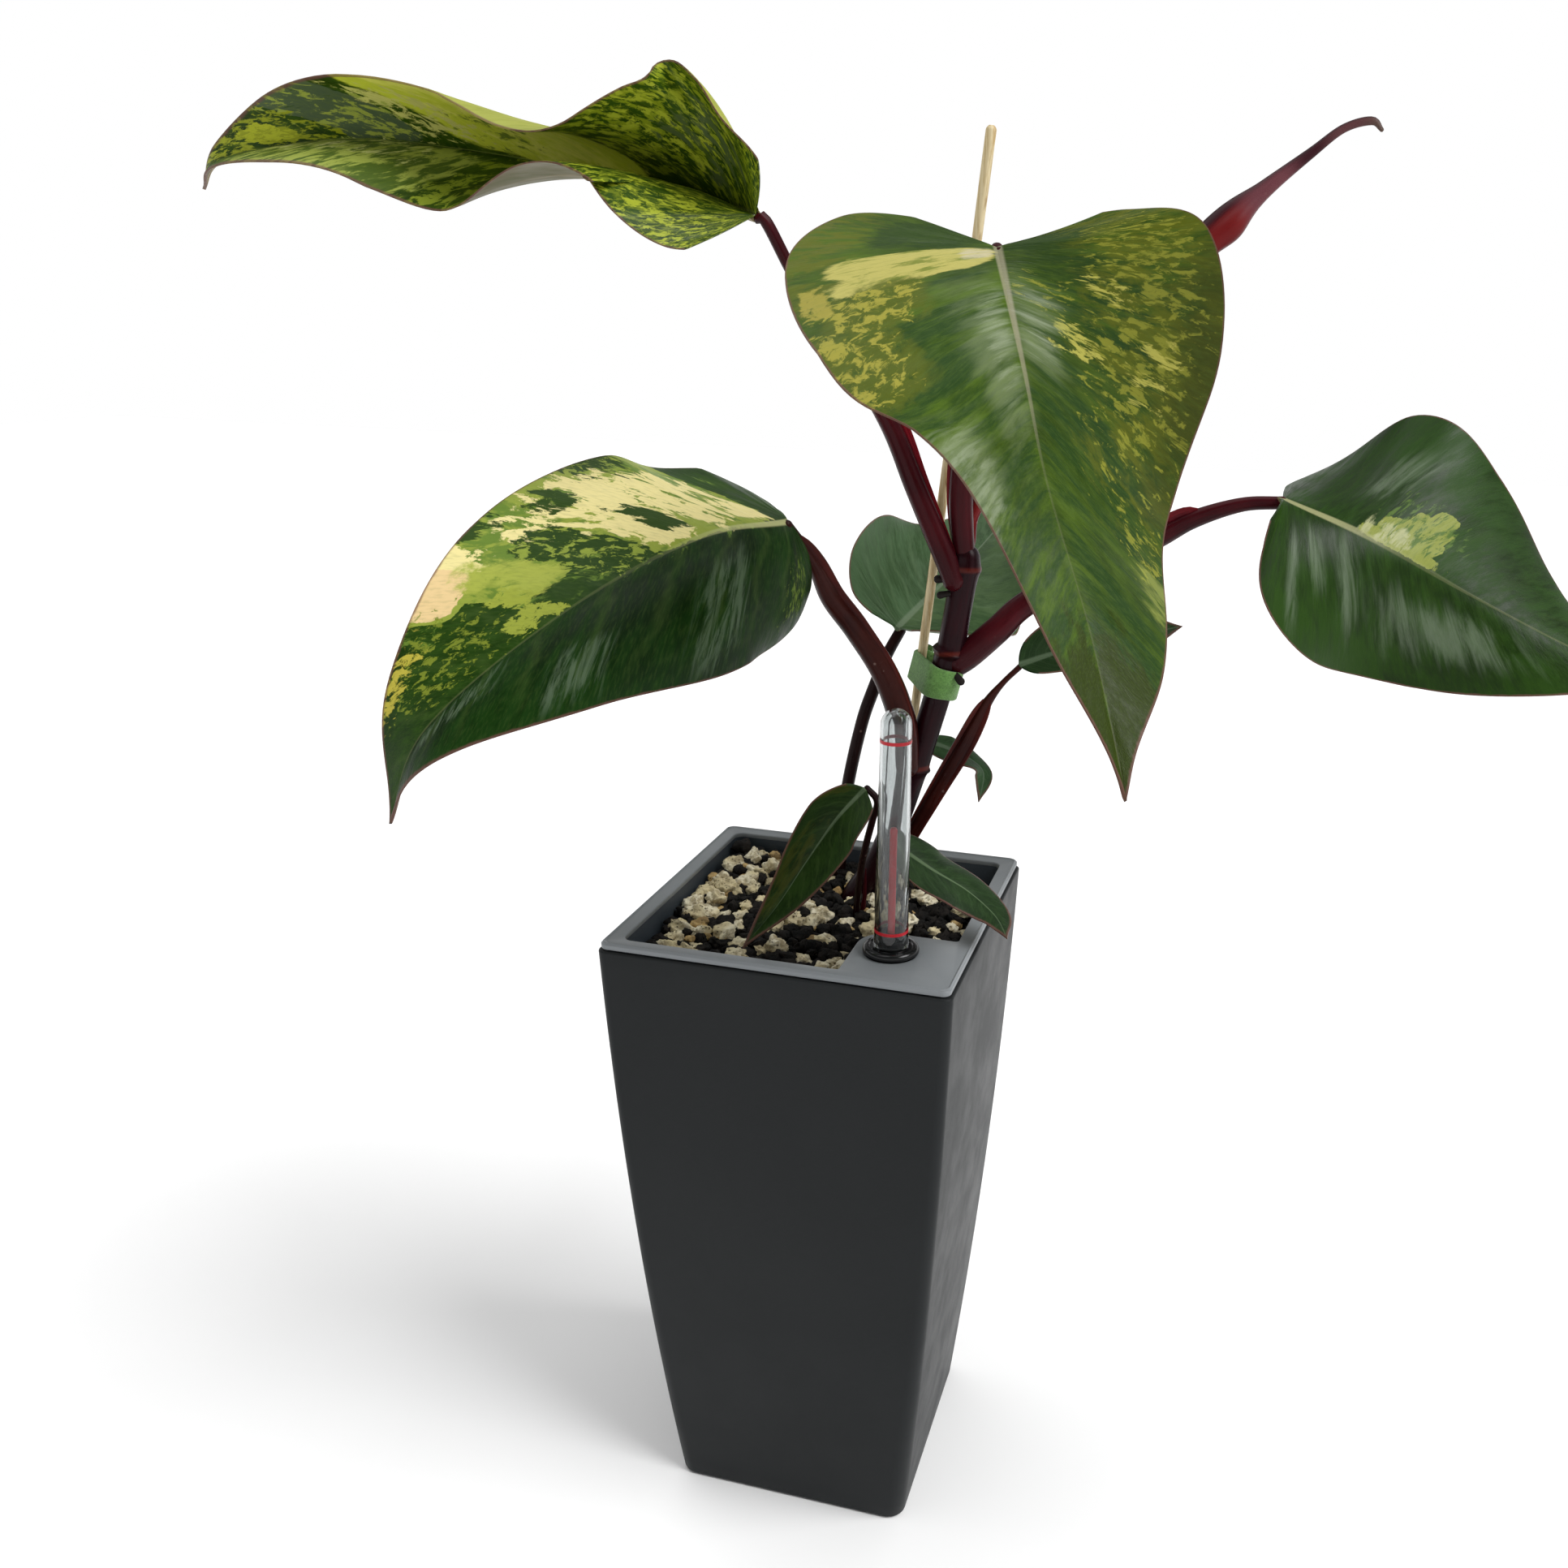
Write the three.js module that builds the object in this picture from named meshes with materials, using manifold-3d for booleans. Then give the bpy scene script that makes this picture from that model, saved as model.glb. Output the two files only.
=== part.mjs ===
// A strawberry shake philodendron in a tall square self-watering planter.
// Millimetres, +Z up. The origin is the centre of the planter's underside, and its front face looks along -Y.
import * as THREE from 'three';
import { mergeVertices } from 'three/addons/utils/BufferGeometryUtils.js';
import Module from 'manifold-3d';

const wasm = await Module();
wasm.setup();

// Driving dimensions of the planter
const POT_TOP_HALF = 45;
const POT_FOOT_HALF = 34.6;
const POT_HEIGHT = 180;
const POT_BULGE = 0.69;
const POT_WALL = 2;
const POT_FLOOR = 2.5;
const POT_CORNER = 2.5;
const POT_EDGE = 1.2;
const POT_INNER_CORNER_CUT = 0.5;
const POT_LEVELS = 7;
const CLEARANCE = 0.3;

// The planting liner hangs in the planter by its rim
const RIM_TOP = POT_HEIGHT;
const RIM_BOTTOM = 178.5;
const RIM_OUTER = 44.3;
const RIM_EDGE = 0.4;
const RIM_CORNER = 2.1;
const LINER_FLOOR = 70;
const LINER_SKIN = 2;
const LINER_WALL = 2.4;
const LINER_FOOT_HALF = 36.5;
const LINER_TOP_HALF = 42.4;
const SHELF_EDGE_X = 16;
const SHELF_EDGE_Y = -16;
const SHELF_CORNER = 8;

// The water gauge stands in the shelf at the front right corner
const GAUGE_X = 25.5;
const GAUGE_Y = -27;
const GAUGE_HOLE = 6.4;
const COLLAR_RADIUS = 7;
const COLLAR_TOP = 182;
const COLLAR_TAPER = 0.3;
const PIPE_RADIUS = 6;
const PIPE_BORE = 5.2;
const PIPE_BOTTOM = 4;
const PIPE_CEILING = RIM_TOP - 6;
const PIPE_SLOT_TOP = 10;
const PIPE_SLOT_HALF = 1.5;
const NECK_RADIUS = 3.05;
const NECK_TOP = 185.5;
const ROD_BORE = 1.5;
const TUBE_FOOT_RADIUS = 4.15;
const TUBE_TOP_RADIUS = 3.65;
const TUBE_SKIN = 0.75;
const TUBE_TOP = 241;
const ROD_RADIUS = 0.9;
const ROD_TOP = 212.4;
const FLOAT_RADIUS = 4.6;
const FLOAT_BOTTOM = 34;
const FLOAT_TOP = 60;

// Substrate, wicks and stones
const SOIL_TOP = 172;
// How much the bed's surface rises with x and with y
const SOIL_RISE = [-0.055, 0.04];
const WICK_RADIUS = 2.6;
const WICK_TOP = 112;
const WICK_PLACES = [[-17, -12], [-17, 14]];
const STONE_PITCH = 8.6;
const STONE_ROW_PITCH = 7.482;
const STONE_REACH = 41;
const STONE_JITTER = 0.5;
const STONE_SEED = 7;
// Each range is its start and its span
const STONE_SIZE = [4.3, 1.5];
const STONE_WIDTH = [0.75, 0.3];
const STONE_HEIGHT = [0.6, 0.2];
const STONE_LIFT = [-2.2, 1.3];

// Stake and tie
const STAKE_RADIUS = 1.2;
const STAKE_FOOT = [4.5, 33.5, 120];
const STAKE_TOP = [31.6, 20, 359.6];
const TIE_HEIGHT = 8;
const TIE_SKIN = 1.1;
const TIE_Z = 236.5;
const TIE_IN_STEM = 3.9;
const TIE_IN_STAKE = 1.8;

const BIG_BLADE = { skin: 0.9, columns: 20, rows: 4 };
const SMALL_BLADE = { skin: 0.7, columns: 12, rows: 3 };

// Half of a heart-shaped blade: distance along the midrib and out from it, as parts of the length and half width
const HEART_MARGIN = [[0, 0], [-0.12, 0.25], [-0.13, 0.62], [0.04, 0.93], [0.28, 0.98], [0.52, 0.74], [0.75, 0.36],
  [0.9, 0.11], [1, 0]];
// The same for a young, narrow blade
const LANCE_MARGIN = [[0, 0], [-0.02, 0.32], [0.06, 0.72], [0.24, 1], [0.45, 0.95], [0.66, 0.68], [0.83, 0.36],
  [0.94, 0.12], [1, 0]];

// Each leaf: its midrib, the way its face looks, the roll about the midrib from base to tip in degrees, half widths,
// how far its base lobes reach, and the fold and curl of its two halves from the base round to the tip in degrees.
// The first value of a pair is the half at the right hand, looking from the base to the tip with the face upward.
const LEAVES = {
  upper_left: {
    rib: [[-13, -9, 341], [-22, 0, 343], [-34, 4, 346], [-50, 4, 349], [-69, 0, 352], [-85, -6, 354],
      [-102, -16, 355], [-118, -23, 353], [-134, -24, 350], [-144, -18, 345]],
    face: [0.1, -0.85, 0.5], roll: [-2, -12, -24, -5], half: [35, 38.5], lobes: [0.3, 0.2],
    fold: [[5, 30, 55, 55, 60, 78, 60, 32, 15, 13], [30, 10, 20, 40, 62, 72, 53, 67, 60, 30]],
    curl: [[34, 45, -28], [16, 0, -40]],
    stalk: [[28, 17.5, 262], [25.9, 16.8, 267.2], [18, 14.9, 284.3], [12, 11.2, 299], [2, 4.3, 316.4],
      [-5.1, -3.5, 327.9], [-10.6, -8.5, 339.5], [-13, -9.3, 341.4]],
    stalkRadii: [2.8, 2.8, 2.6, 2.3, 1.8, 1.4, 1.3, 1.2],
  },
  lower_left: {
    rib: [[-6.5, -8, 278], [-21, -29, 276], [-46, -49, 260.5], [-72, -64, 237], [-86, -62, 212.5]],
    face: [-0.2, -0.65, 0.73], roll: [-15, -2, -9, -4], half: [43, 31], lobes: [0.4, 0.3],
    fold: [[-27, -19, -18, -2, 10, 18], [-18, -31, -28, 2, 9, 16]],
    curl: [[-46, 21, 18], [-60, -54, 29]],
    stalk: [[18, 15.5, 213.5], [16.5, 14.5, 226], [11.8, 12.7, 239], [5.2, 9.5, 250], [0.1, 4.4, 258.6],
      [-2.6, -0.9, 267.2], [-6.7, -8.4, 278.4]],
    stalkRadii: [3, 3.6, 3.4, 3.1, 2.7, 1.8, 1.3],
  },
  front: {
    rib: [[43, -25, 335], [51, -32, 313], [58, -39, 293], [71, -55, 267], [82.5, -75, 241]],
    face: [0.1, -0.85, 0.5], roll: [-30, -31, -34, -29], half: [51, 46], lobes: [0.5, 0.2],
    fold: [[-12, 0, 8, 28, 17, 25], [8, 7, 11, -25, -3, 15]],
    curl: [[-24, -4, 30], [16, 16, 14]],
    stalk: [[30, 20, 265.5], [28.7, 18.2, 280.7], [30, 14.4, 295.9], [33.6, 4.9, 312.2], [38.4, -10.3, 325.4],
      [43.1, -25.4, 335.1]],
    stalkRadii: [2.6, 3, 2.7, 2.2, 1.7, 1.4],
  },
  right: {
    rib: [[104, 34, 284], [125.5, 34, 276], [150, 41.5, 263.5], [176, 47, 251.5], [203.5, 58.5, 240]],
    face: [0.25, -0.65, 0.72], roll: [-36, 16, 3, -9], half: [32, 43.5], lobes: [0.1, 0],
    fold: [[4, 10, -10, -10, -4, 5], [9, -8, -2, -8, -7, 1]],
    curl: [[18, -40, -3], [1, -6, -9]],
    stalk: [[29, 20, 241], [32.1, 20.9, 243.7], [38.6, 23.3, 249.9], [44.4, 26.5, 255.8], [59.1, 30.3, 265.3],
      [74.3, 32.2, 272.8], [83.5, 33.6, 278], [94.6, 33.9, 282], [104.4, 34, 284]],
    stalkRadii: [3.3, 3.6, 3.5, 3.2, 3, 2.7, 2.2, 1.7, 1.5],
  },
  back: {
    rib: [[8, 40, 244.5], [13, 59.5, 251], [20, 76, 258.5], [28, 91, 269], [32.5, 107, 273.5]],
    face: [-0.1, -0.8, 0.6], roll: [14, 17, -10, 17], half: [27.5, 26], lobes: [0.6, 0.5],
    fold: [[28, 31, 17, 7, 1, 3], [34, 19, 28, 6, 6, 10]],
    curl: [[45, -7, -5], [36, 16, 7]],
    stalk: [[-7, 30, 150], [-6, 32, 167], [-5.5, 33.5, 185], [-4, 34.4, 200.6], [-0.8, 36.7, 218.2],
      [2.4, 37.9, 228.6], [5.2, 39.1, 236.8], [8.4, 41.6, 245.2]],
    stalkRadii: [1.8, 1.8, 1.8, 1.8, 1.8, 1.8, 1.6, 1.5],
  },
  small_right: {
    young: true,
    rib: [[43.5, 30, 239.5], [54, 43.5, 241.5], [68, 52, 244], [82.5, 60.5, 246.5]],
    face: [0.1, -0.7, 0.7], roll: [15, 15], half: [12, 12], lobes: [0.8, 0.7],
    fold: [[24, 20, 8], [30, 25, 10]],
    curl: [[30, 40, 0], [40, 60, 5]],
    stalk: [[3, 26, 150], [5, 26, 167], [18, 26.2, 192.9], [24.8, 26.4, 206.4], [30.9, 26.8, 218.3],
      [35.7, 27.5, 229], [39.7, 27.9, 234.9], [43.9, 30.4, 239.7]],
    stalkRadii: [1.8, 1.8, 2.1, 2.2, 2.2, 1.6, 0.8, 0.8],
  },
  small_left: {
    young: true,
    rib: [[14.5, -13.5, 216.5], [6, -10.5, 206], [-0.5, -14, 195.5], [-6, -21, 185.5], [-12, -30, 177]],
    face: [-0.1, -0.7, 0.7], roll: [-33, -19, -22, -12], half: [9, 10], lobes: [0.7, 0.8],
    fold: [[27, 22], [13, 24]],
    curl: [[20, 50, 27], [0, 20, 20]],
    stalk: [[5, 9, 150], [6, 8, 167], [10, 0, 190], [15, -8.5, 206], [17.3, -12, 213], [14.2, -13.3, 216.7]],
    stalkRadii: [0.9, 0.9, 0.9, 0.9, 0.9, 0.8],
  },
  small_front: {
    young: true,
    rib: [[22, -13.5, 203], [31.5, -12.5, 197], [40.5, -10.5, 191.5], [48.5, -14.5, 187.5], [53.5, -23.5, 186]],
    face: [0.2, -0.6, 0.8], roll: [-12, -18, -15, 3], half: [9, 8.5], lobes: [0.7, 0.7],
    fold: [[15, 5], [6, 6]],
    curl: [[15, -12, -12], [0, -30, 0]],
    stalk: [[11, 13, 150], [11.5, 12, 167], [14, 3, 188], [18, -7, 200], [22.4, -13.7, 203]],
    stalkRadii: [0.9, 0.9, 0.9, 0.9, 0.8],
  },
  small_back: {
    young: true,
    rib: [[18.2, 37.2, 214.3], [23.7, 37.2, 212.9], [28.7, 38.5, 210.7], [33.7, 38.5, 206.7], [33.7, 35, 199.2]],
    face: [0.2, -0.5, 0.8], roll: [-6, -11, -27, -18], half: [6, 5.5], lobes: [0.8, 0.8],
    fold: [[8, 13], [6, 8]],
    curl: [[0, 0, 10], [-6, -20, 0]],
    stalk: [[3, 34.5, 150], [4, 35, 167], [9.5, 38.5, 189.5], [14.3, 39.4, 208.8], [18.6, 37.3, 214.4]],
    stalkRadii: [0.8, 0.8, 0.8, 0.8, 0.7],
  },
};

// The climbing stem, thicker at its three nodes, and the rolled new leaf that rises from the last one
const STEM = [[-4, 16, 130], [0.5, 20, 167], [8, 21.5, 182], [14, 21, 197], [18.2, 19.4, 210], [19, 19, 213],
  [20, 19, 216], [24, 19.5, 231], [26.4, 20, 241.5], [27, 20, 244], [27.6, 20, 246.5], [29.4, 20, 260],
  [30, 20, 265], [30.2, 20, 268]];
const STEM_RADII = [3, 3.5, 3.5, 3.5, 3.5, 4, 3.5, 3.5, 3.6, 4.1, 3.6, 3.5, 3.9, 3.5];
const SPEAR = [[30, 23, 270.5], [31.5, 24.5, 280], [44.3, 32.1, 298.9], [62.6, 43.9, 321], [80, 54.8, 341.6],
  [90.4, 59.6, 351], [99.8, 64.6, 358.8], [106.6, 67.7, 364.2], [112.8, 69.1, 365.9], [115.4, 69, 364]];
const SPEAR_RADII = [1.7, 1.9, 2.3, 3.1, 3.7, 2.1, 1.25, 1, 0.95, 0.5];
// Aerial root buds: where each one leaves the stem, where it ends, and its radius
const ROOT_BUDS = [
  { from: [29, 19, 261.5], to: [23.6, 17.6, 262.3], radius: 0.9 },
  { from: [29, 18.5, 258.5], to: [24.6, 16.6, 258.6], radius: 0.8 },
  { from: [27, 19, 239.5], to: [31.2, 15.9, 237.4], radius: 0.9 },
];

const COLOURS = {
  anthracite: 0x4a4c50,
  rimGrey: 0x8f949b,
  black: 0x17181a,
  clear: 0xdfe6e8,
  red: 0xc2232e,
  felt: 0xcfc8b8,
  tie: 0x5f8443,
  bamboo: 0xcdb98f,
  stones: 0xa99d88,
  maroon: 0x4a1a1c,
  brightRed: 0x8a2630,
  leaf: 0x4f6f2b,
};

// Solids and meshes

function solidOf(geometry) {
  const bare = geometry.clone();
  bare.deleteAttribute('normal');
  bare.deleteAttribute('uv');
  const welded = mergeVertices(bare, 1e-4);
  const mesh = new wasm.Mesh({
    numProp: 3,
    vertProperties: Float32Array.from(welded.attributes.position.array),
    triVerts: Uint32Array.from(welded.index.array),
  });
  return new wasm.Manifold(mesh);
}

function geometryOf(solid) {
  const mesh = solid.getMesh();
  const geometry = new THREE.BufferGeometry();
  geometry.setAttribute('position', new THREE.BufferAttribute(Float32Array.from(mesh.vertProperties), 3));
  geometry.setIndex(new THREE.BufferAttribute(Uint32Array.from(mesh.triVerts), 1));
  geometry.computeVertexNormals();
  return geometry;
}

function vectors(points) {
  return points.map((p) => new THREE.Vector3(...p));
}

function smoothCurve(points) {
  return new THREE.CatmullRomCurve3(vectors(points), false, 'catmullrom', 0.5);
}

// A smooth value through evenly spaced ones, at u from 0 to 1
function through(values, u) {
  const last = values.length - 1;
  const x = THREE.MathUtils.clamp(u, 0, 1) * last;
  const i = Math.min(Math.floor(x), last - 1);
  const f = x - i;
  const p1 = values[i];
  const p2 = values[i + 1];
  const p0 = i > 0 ? values[i - 1] : 2 * p1 - p2;
  const p3 = i + 2 <= last ? values[i + 2] : 2 * p2 - p1;
  return 0.5 * (2 * p1 + (p2 - p0) * f + (2 * p0 - 5 * p1 + 4 * p2 - p3) * f * f
    + (3 * p1 - p0 - 3 * p2 + p3) * f * f * f);
}

// A closed skin over rings of equally many points, from the first ring to the last
function loft(rings) {
  const count = rings[0].length;
  const positions = [];
  for (const ring of rings) {
    for (const p of ring) {
      positions.push(p.x, p.y, p.z);
    }
  }
  const index = [];
  for (let r = 0; r + 1 < rings.length; r += 1) {
    for (let k = 0; k < count; k += 1) {
      const a = r * count + k;
      const b = r * count + ((k + 1) % count);
      index.push(a, b, b + count, a, b + count, a + count);
    }
  }
  for (const [ring, first] of [[rings[0], true], [rings[rings.length - 1], false]]) {
    const centre = ring.reduce((sum, p) => sum.add(p), new THREE.Vector3()).divideScalar(count);
    const hub = positions.length / 3;
    const base = first ? 0 : (rings.length - 1) * count;
    positions.push(centre.x, centre.y, centre.z);
    for (let k = 0; k < count; k += 1) {
      const a = base + k;
      const b = base + ((k + 1) % count);
      index.push(hub, first ? b : a, first ? a : b);
    }
  }
  const geometry = new THREE.BufferGeometry();
  geometry.setAttribute('position', new THREE.Float32BufferAttribute(positions, 3));
  geometry.setIndex(index);
  return geometry;
}

// A square ring with round corners at height z, counted anticlockwise from above
function squareRing(half, corner, z, steps = 3) {
  const ring = [];
  for (let q = 0; q < 4; q += 1) {
    const turn = (q * Math.PI) / 2;
    const cx = (half - corner) * Math.SQRT2 * Math.cos(turn + Math.PI / 4);
    const cy = (half - corner) * Math.SQRT2 * Math.sin(turn + Math.PI / 4);
    for (let i = 0; i <= steps; i += 1) {
      const a = turn + (i / steps) * (Math.PI / 2);
      ring.push(new THREE.Vector3(cx + corner * Math.cos(a), cy + corner * Math.sin(a), z));
    }
  }
  return ring;
}

function cylinder(radius, bottom, top, x = 0, y = 0, sides = 20, topRadius = radius) {
  const geometry = new THREE.CylinderGeometry(topRadius, radius, top - bottom, sides);
  geometry.rotateX(Math.PI / 2);
  geometry.translate(x, y, (top + bottom) / 2);
  return solidOf(geometry);
}

function box(x0, x1, y0, y1, z0, z1) {
  const geometry = new THREE.BoxGeometry(x1 - x0, y1 - y0, z1 - z0);
  geometry.translate((x0 + x1) / 2, (y0 + y1) / 2, (z0 + z1) / 2);
  return solidOf(geometry);
}

// How far a rod's end caps stand out and how wide they are, as parts of the radius there
const ROD_CAP_REACH = 0.5;
const ROD_CAP_WIDTH = 0.6;

// A tapering rod with round ends along a smooth curve. spare is added to its radius and its ends.
function rod(points, radii, sides = 8, spare = 0, steps = (points.length - 1) * 2) {
  const curve = smoothCurve(points);
  const frames = curve.computeFrenetFrames(steps, false);
  const rings = [];
  const ringAt = (centre, i, radius) => {
    const ring = [];
    for (let k = 0; k < sides; k += 1) {
      const a = (k / sides) * Math.PI * 2;
      ring.push(centre.clone()
        .addScaledVector(frames.normals[i], radius * Math.cos(a))
        .addScaledVector(frames.binormals[i], radius * Math.sin(a)));
    }
    return ring;
  };
  const first = radii[0] + spare;
  const start = curve.getPointAt(0).addScaledVector(frames.tangents[0], -first * ROD_CAP_REACH);
  rings.push(ringAt(start, 0, first * ROD_CAP_WIDTH));
  for (let i = 0; i <= steps; i += 1) {
    const u = curve.getUtoTmapping(i / steps);
    rings.push(ringAt(curve.getPoint(u), i, through(radii, u) + spare));
  }
  const last = radii[radii.length - 1] + spare;
  const end = curve.getPointAt(1).addScaledVector(frames.tangents[steps], last * ROD_CAP_REACH);
  rings.push(ringAt(end, steps, last * ROD_CAP_WIDTH));
  return solidOf(loft(rings));
}

// The planter and what hangs in it

function potHalf(z) {
  const t = z / POT_HEIGHT;
  return POT_FOOT_HALF + (POT_TOP_HALF - POT_FOOT_HALF) * t * (1 + POT_BULGE * (1 - t));
}

function makeShell() {
  const top = RIM_BOTTOM - CLEARANCE;
  const outer = [squareRing(potHalf(0) - POT_EDGE, POT_CORNER * 2, 0)];
  const inner = [];
  for (let i = 0; i <= POT_LEVELS; i += 1) {
    const z = POT_EDGE + ((top - POT_EDGE) * i) / POT_LEVELS;
    const corner = POT_CORNER * (2 - i / POT_LEVELS);
    outer.push(squareRing(potHalf(z), corner, z));
    const w = Math.max(z, POT_FLOOR);
    inner.push(squareRing(potHalf(w) - POT_WALL, corner - POT_INNER_CORNER_CUT, i === POT_LEVELS ? w + 1 : w));
  }
  return solidOf(loft(outer)).subtract(solidOf(loft(inner)));
}

function linerHalf(z) {
  const t = (z - LINER_FLOOR) / (RIM_BOTTOM - LINER_FLOOR);
  return LINER_FOOT_HALF + (LINER_TOP_HALF - LINER_FOOT_HALF) * t;
}

// The shelf's corner block, as seen from above. grow moves its two inner faces outward.
function shelfBlock(grow, z0, z1) {
  const shape = new THREE.Shape();
  const x = SHELF_EDGE_X - grow;
  const y = SHELF_EDGE_Y + grow;
  const far = POT_TOP_HALF + 10;
  const r = SHELF_CORNER + grow;
  shape.moveTo(x, -far);
  shape.lineTo(far, -far);
  shape.lineTo(far, y);
  shape.lineTo(x + r, y);
  shape.absarc(x + r, y - r, r, Math.PI / 2, Math.PI, false);
  shape.lineTo(x, -far);
  const geometry = new THREE.ExtrudeGeometry(shape, { depth: z1 - z0, bevelEnabled: false, curveSegments: 4 });
  geometry.translate(0, 0, z0);
  return solidOf(geometry);
}

function taperedBlock(inset, z0, z1) {
  return solidOf(loft([
    squareRing(linerHalf(z0) - inset, POT_CORNER, z0),
    squareRing(linerHalf(z1) - inset, POT_CORNER, z1),
  ]));
}

// The room for soil, made smaller all round by gap
function soilRoom(gap, z0, z1) {
  return taperedBlock(LINER_WALL + gap, z0, z1).subtract(shelfBlock(gap, z0 - 1, z1 + 1));
}

function makeLiner() {
  const flange = solidOf(loft([
    squareRing(RIM_OUTER, RIM_CORNER, RIM_BOTTOM),
    squareRing(RIM_OUTER, RIM_CORNER, RIM_TOP - RIM_EDGE),
    squareRing(RIM_OUTER - RIM_EDGE, RIM_CORNER - RIM_EDGE, RIM_TOP),
  ]));
  const shaftTop = RIM_TOP - LINER_SKIN;
  const shaft = taperedBlock(LINER_WALL, LINER_FLOOR - 1, shaftTop)
    .intersect(shelfBlock(-LINER_SKIN, LINER_FLOOR - 1, shaftTop));
  let liner = flange
    .add(taperedBlock(0, LINER_FLOOR, RIM_BOTTOM + 0.5))
    .subtract(soilRoom(0, LINER_FLOOR + LINER_SKIN, RIM_TOP + 1))
    .subtract(shaft)
    .subtract(cylinder(GAUGE_HOLE, shaftTop - 1, RIM_TOP + 1, GAUGE_X, GAUGE_Y, 24));
  for (const [x, y] of WICK_PLACES) {
    liner = liner.subtract(cylinder(WICK_RADIUS + CLEARANCE, LINER_FLOOR - 1, LINER_FLOOR + 4, x, y, 10));
  }
  return liner;
}

function makeGaugeFoot() {
  const slotReach = PIPE_RADIUS + 2;
  const pipe = cylinder(PIPE_RADIUS, PIPE_BOTTOM, RIM_TOP + 0.5, GAUGE_X, GAUGE_Y, 24);
  const collar = cylinder(COLLAR_RADIUS, RIM_TOP + CLEARANCE, COLLAR_TOP, GAUGE_X, GAUGE_Y, 24, COLLAR_RADIUS - COLLAR_TAPER);
  const neck = cylinder(NECK_RADIUS, COLLAR_TOP - 1, NECK_TOP, GAUGE_X, GAUGE_Y, 16);
  const bore = cylinder(PIPE_BORE, PIPE_BOTTOM - 1, PIPE_CEILING, GAUGE_X, GAUGE_Y, 24);
  const rodHole = cylinder(ROD_BORE, PIPE_CEILING - 2, NECK_TOP + 1, GAUGE_X, GAUGE_Y, 12);
  const slot = (x, y) => box(GAUGE_X - x, GAUGE_X + x, GAUGE_Y - y, GAUGE_Y + y, PIPE_BOTTOM - 1, PIPE_SLOT_TOP);
  return pipe.add(collar).add(neck).subtract(bore).subtract(rodHole)
    .subtract(slot(slotReach, PIPE_SLOT_HALF))
    .subtract(slot(PIPE_SLOT_HALF, slotReach));
}

// The clear tube is a glass-like thimble: a profile turned about the gauge's axis
function makeGaugeTube() {
  const domeSteps = 4;
  const bottom = COLLAR_TOP + CLEARANCE;
  const dome = TUBE_TOP - TUBE_TOP_RADIUS;
  const profile = [new THREE.Vector2(TUBE_FOOT_RADIUS, bottom)];
  for (let i = 0; i <= domeSteps; i += 1) {
    const a = (i / domeSteps) * (Math.PI / 2);
    const x = i === domeSteps ? 0 : TUBE_TOP_RADIUS * Math.cos(a);
    profile.push(new THREE.Vector2(x, dome + TUBE_TOP_RADIUS * Math.sin(a)));
  }
  for (let i = domeSteps; i >= 0; i -= 1) {
    const a = (i / domeSteps) * (Math.PI / 2);
    const r = TUBE_TOP_RADIUS - TUBE_SKIN;
    profile.push(new THREE.Vector2(i === domeSteps ? 0 : r * Math.cos(a), dome + r * Math.sin(a)));
  }
  profile.push(new THREE.Vector2(TUBE_FOOT_RADIUS - TUBE_SKIN, bottom));
  profile.push(profile[0].clone());
  const geometry = new THREE.LatheGeometry(profile, 16);
  geometry.rotateX(Math.PI / 2);
  geometry.translate(GAUGE_X, GAUGE_Y, 0);
  return solidOf(geometry);
}

function makeFloat() {
  return cylinder(FLOAT_RADIUS, FLOAT_BOTTOM, FLOAT_TOP, GAUGE_X, GAUGE_Y, 16);
}

function makeGaugeRod() {
  return cylinder(ROD_RADIUS, FLOAT_TOP + CLEARANCE, ROD_TOP, GAUGE_X, GAUGE_Y, 8);
}

function makeWick([x, y]) {
  return cylinder(WICK_RADIUS, POT_FLOOR + CLEARANCE, WICK_TOP, x, y, 10);
}

// Numbers from 0 to 1 that are the same each run
function seededRandom(seed) {
  let state = seed;
  return () => {
    state = (state * 1664525 + 1013904223) % 4294967296;
    return state / 4294967296;
  };
}

function soilLevel(x, y) {
  return SOIL_TOP + SOIL_RISE[0] * x + SOIL_RISE[1] * y;
}

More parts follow.
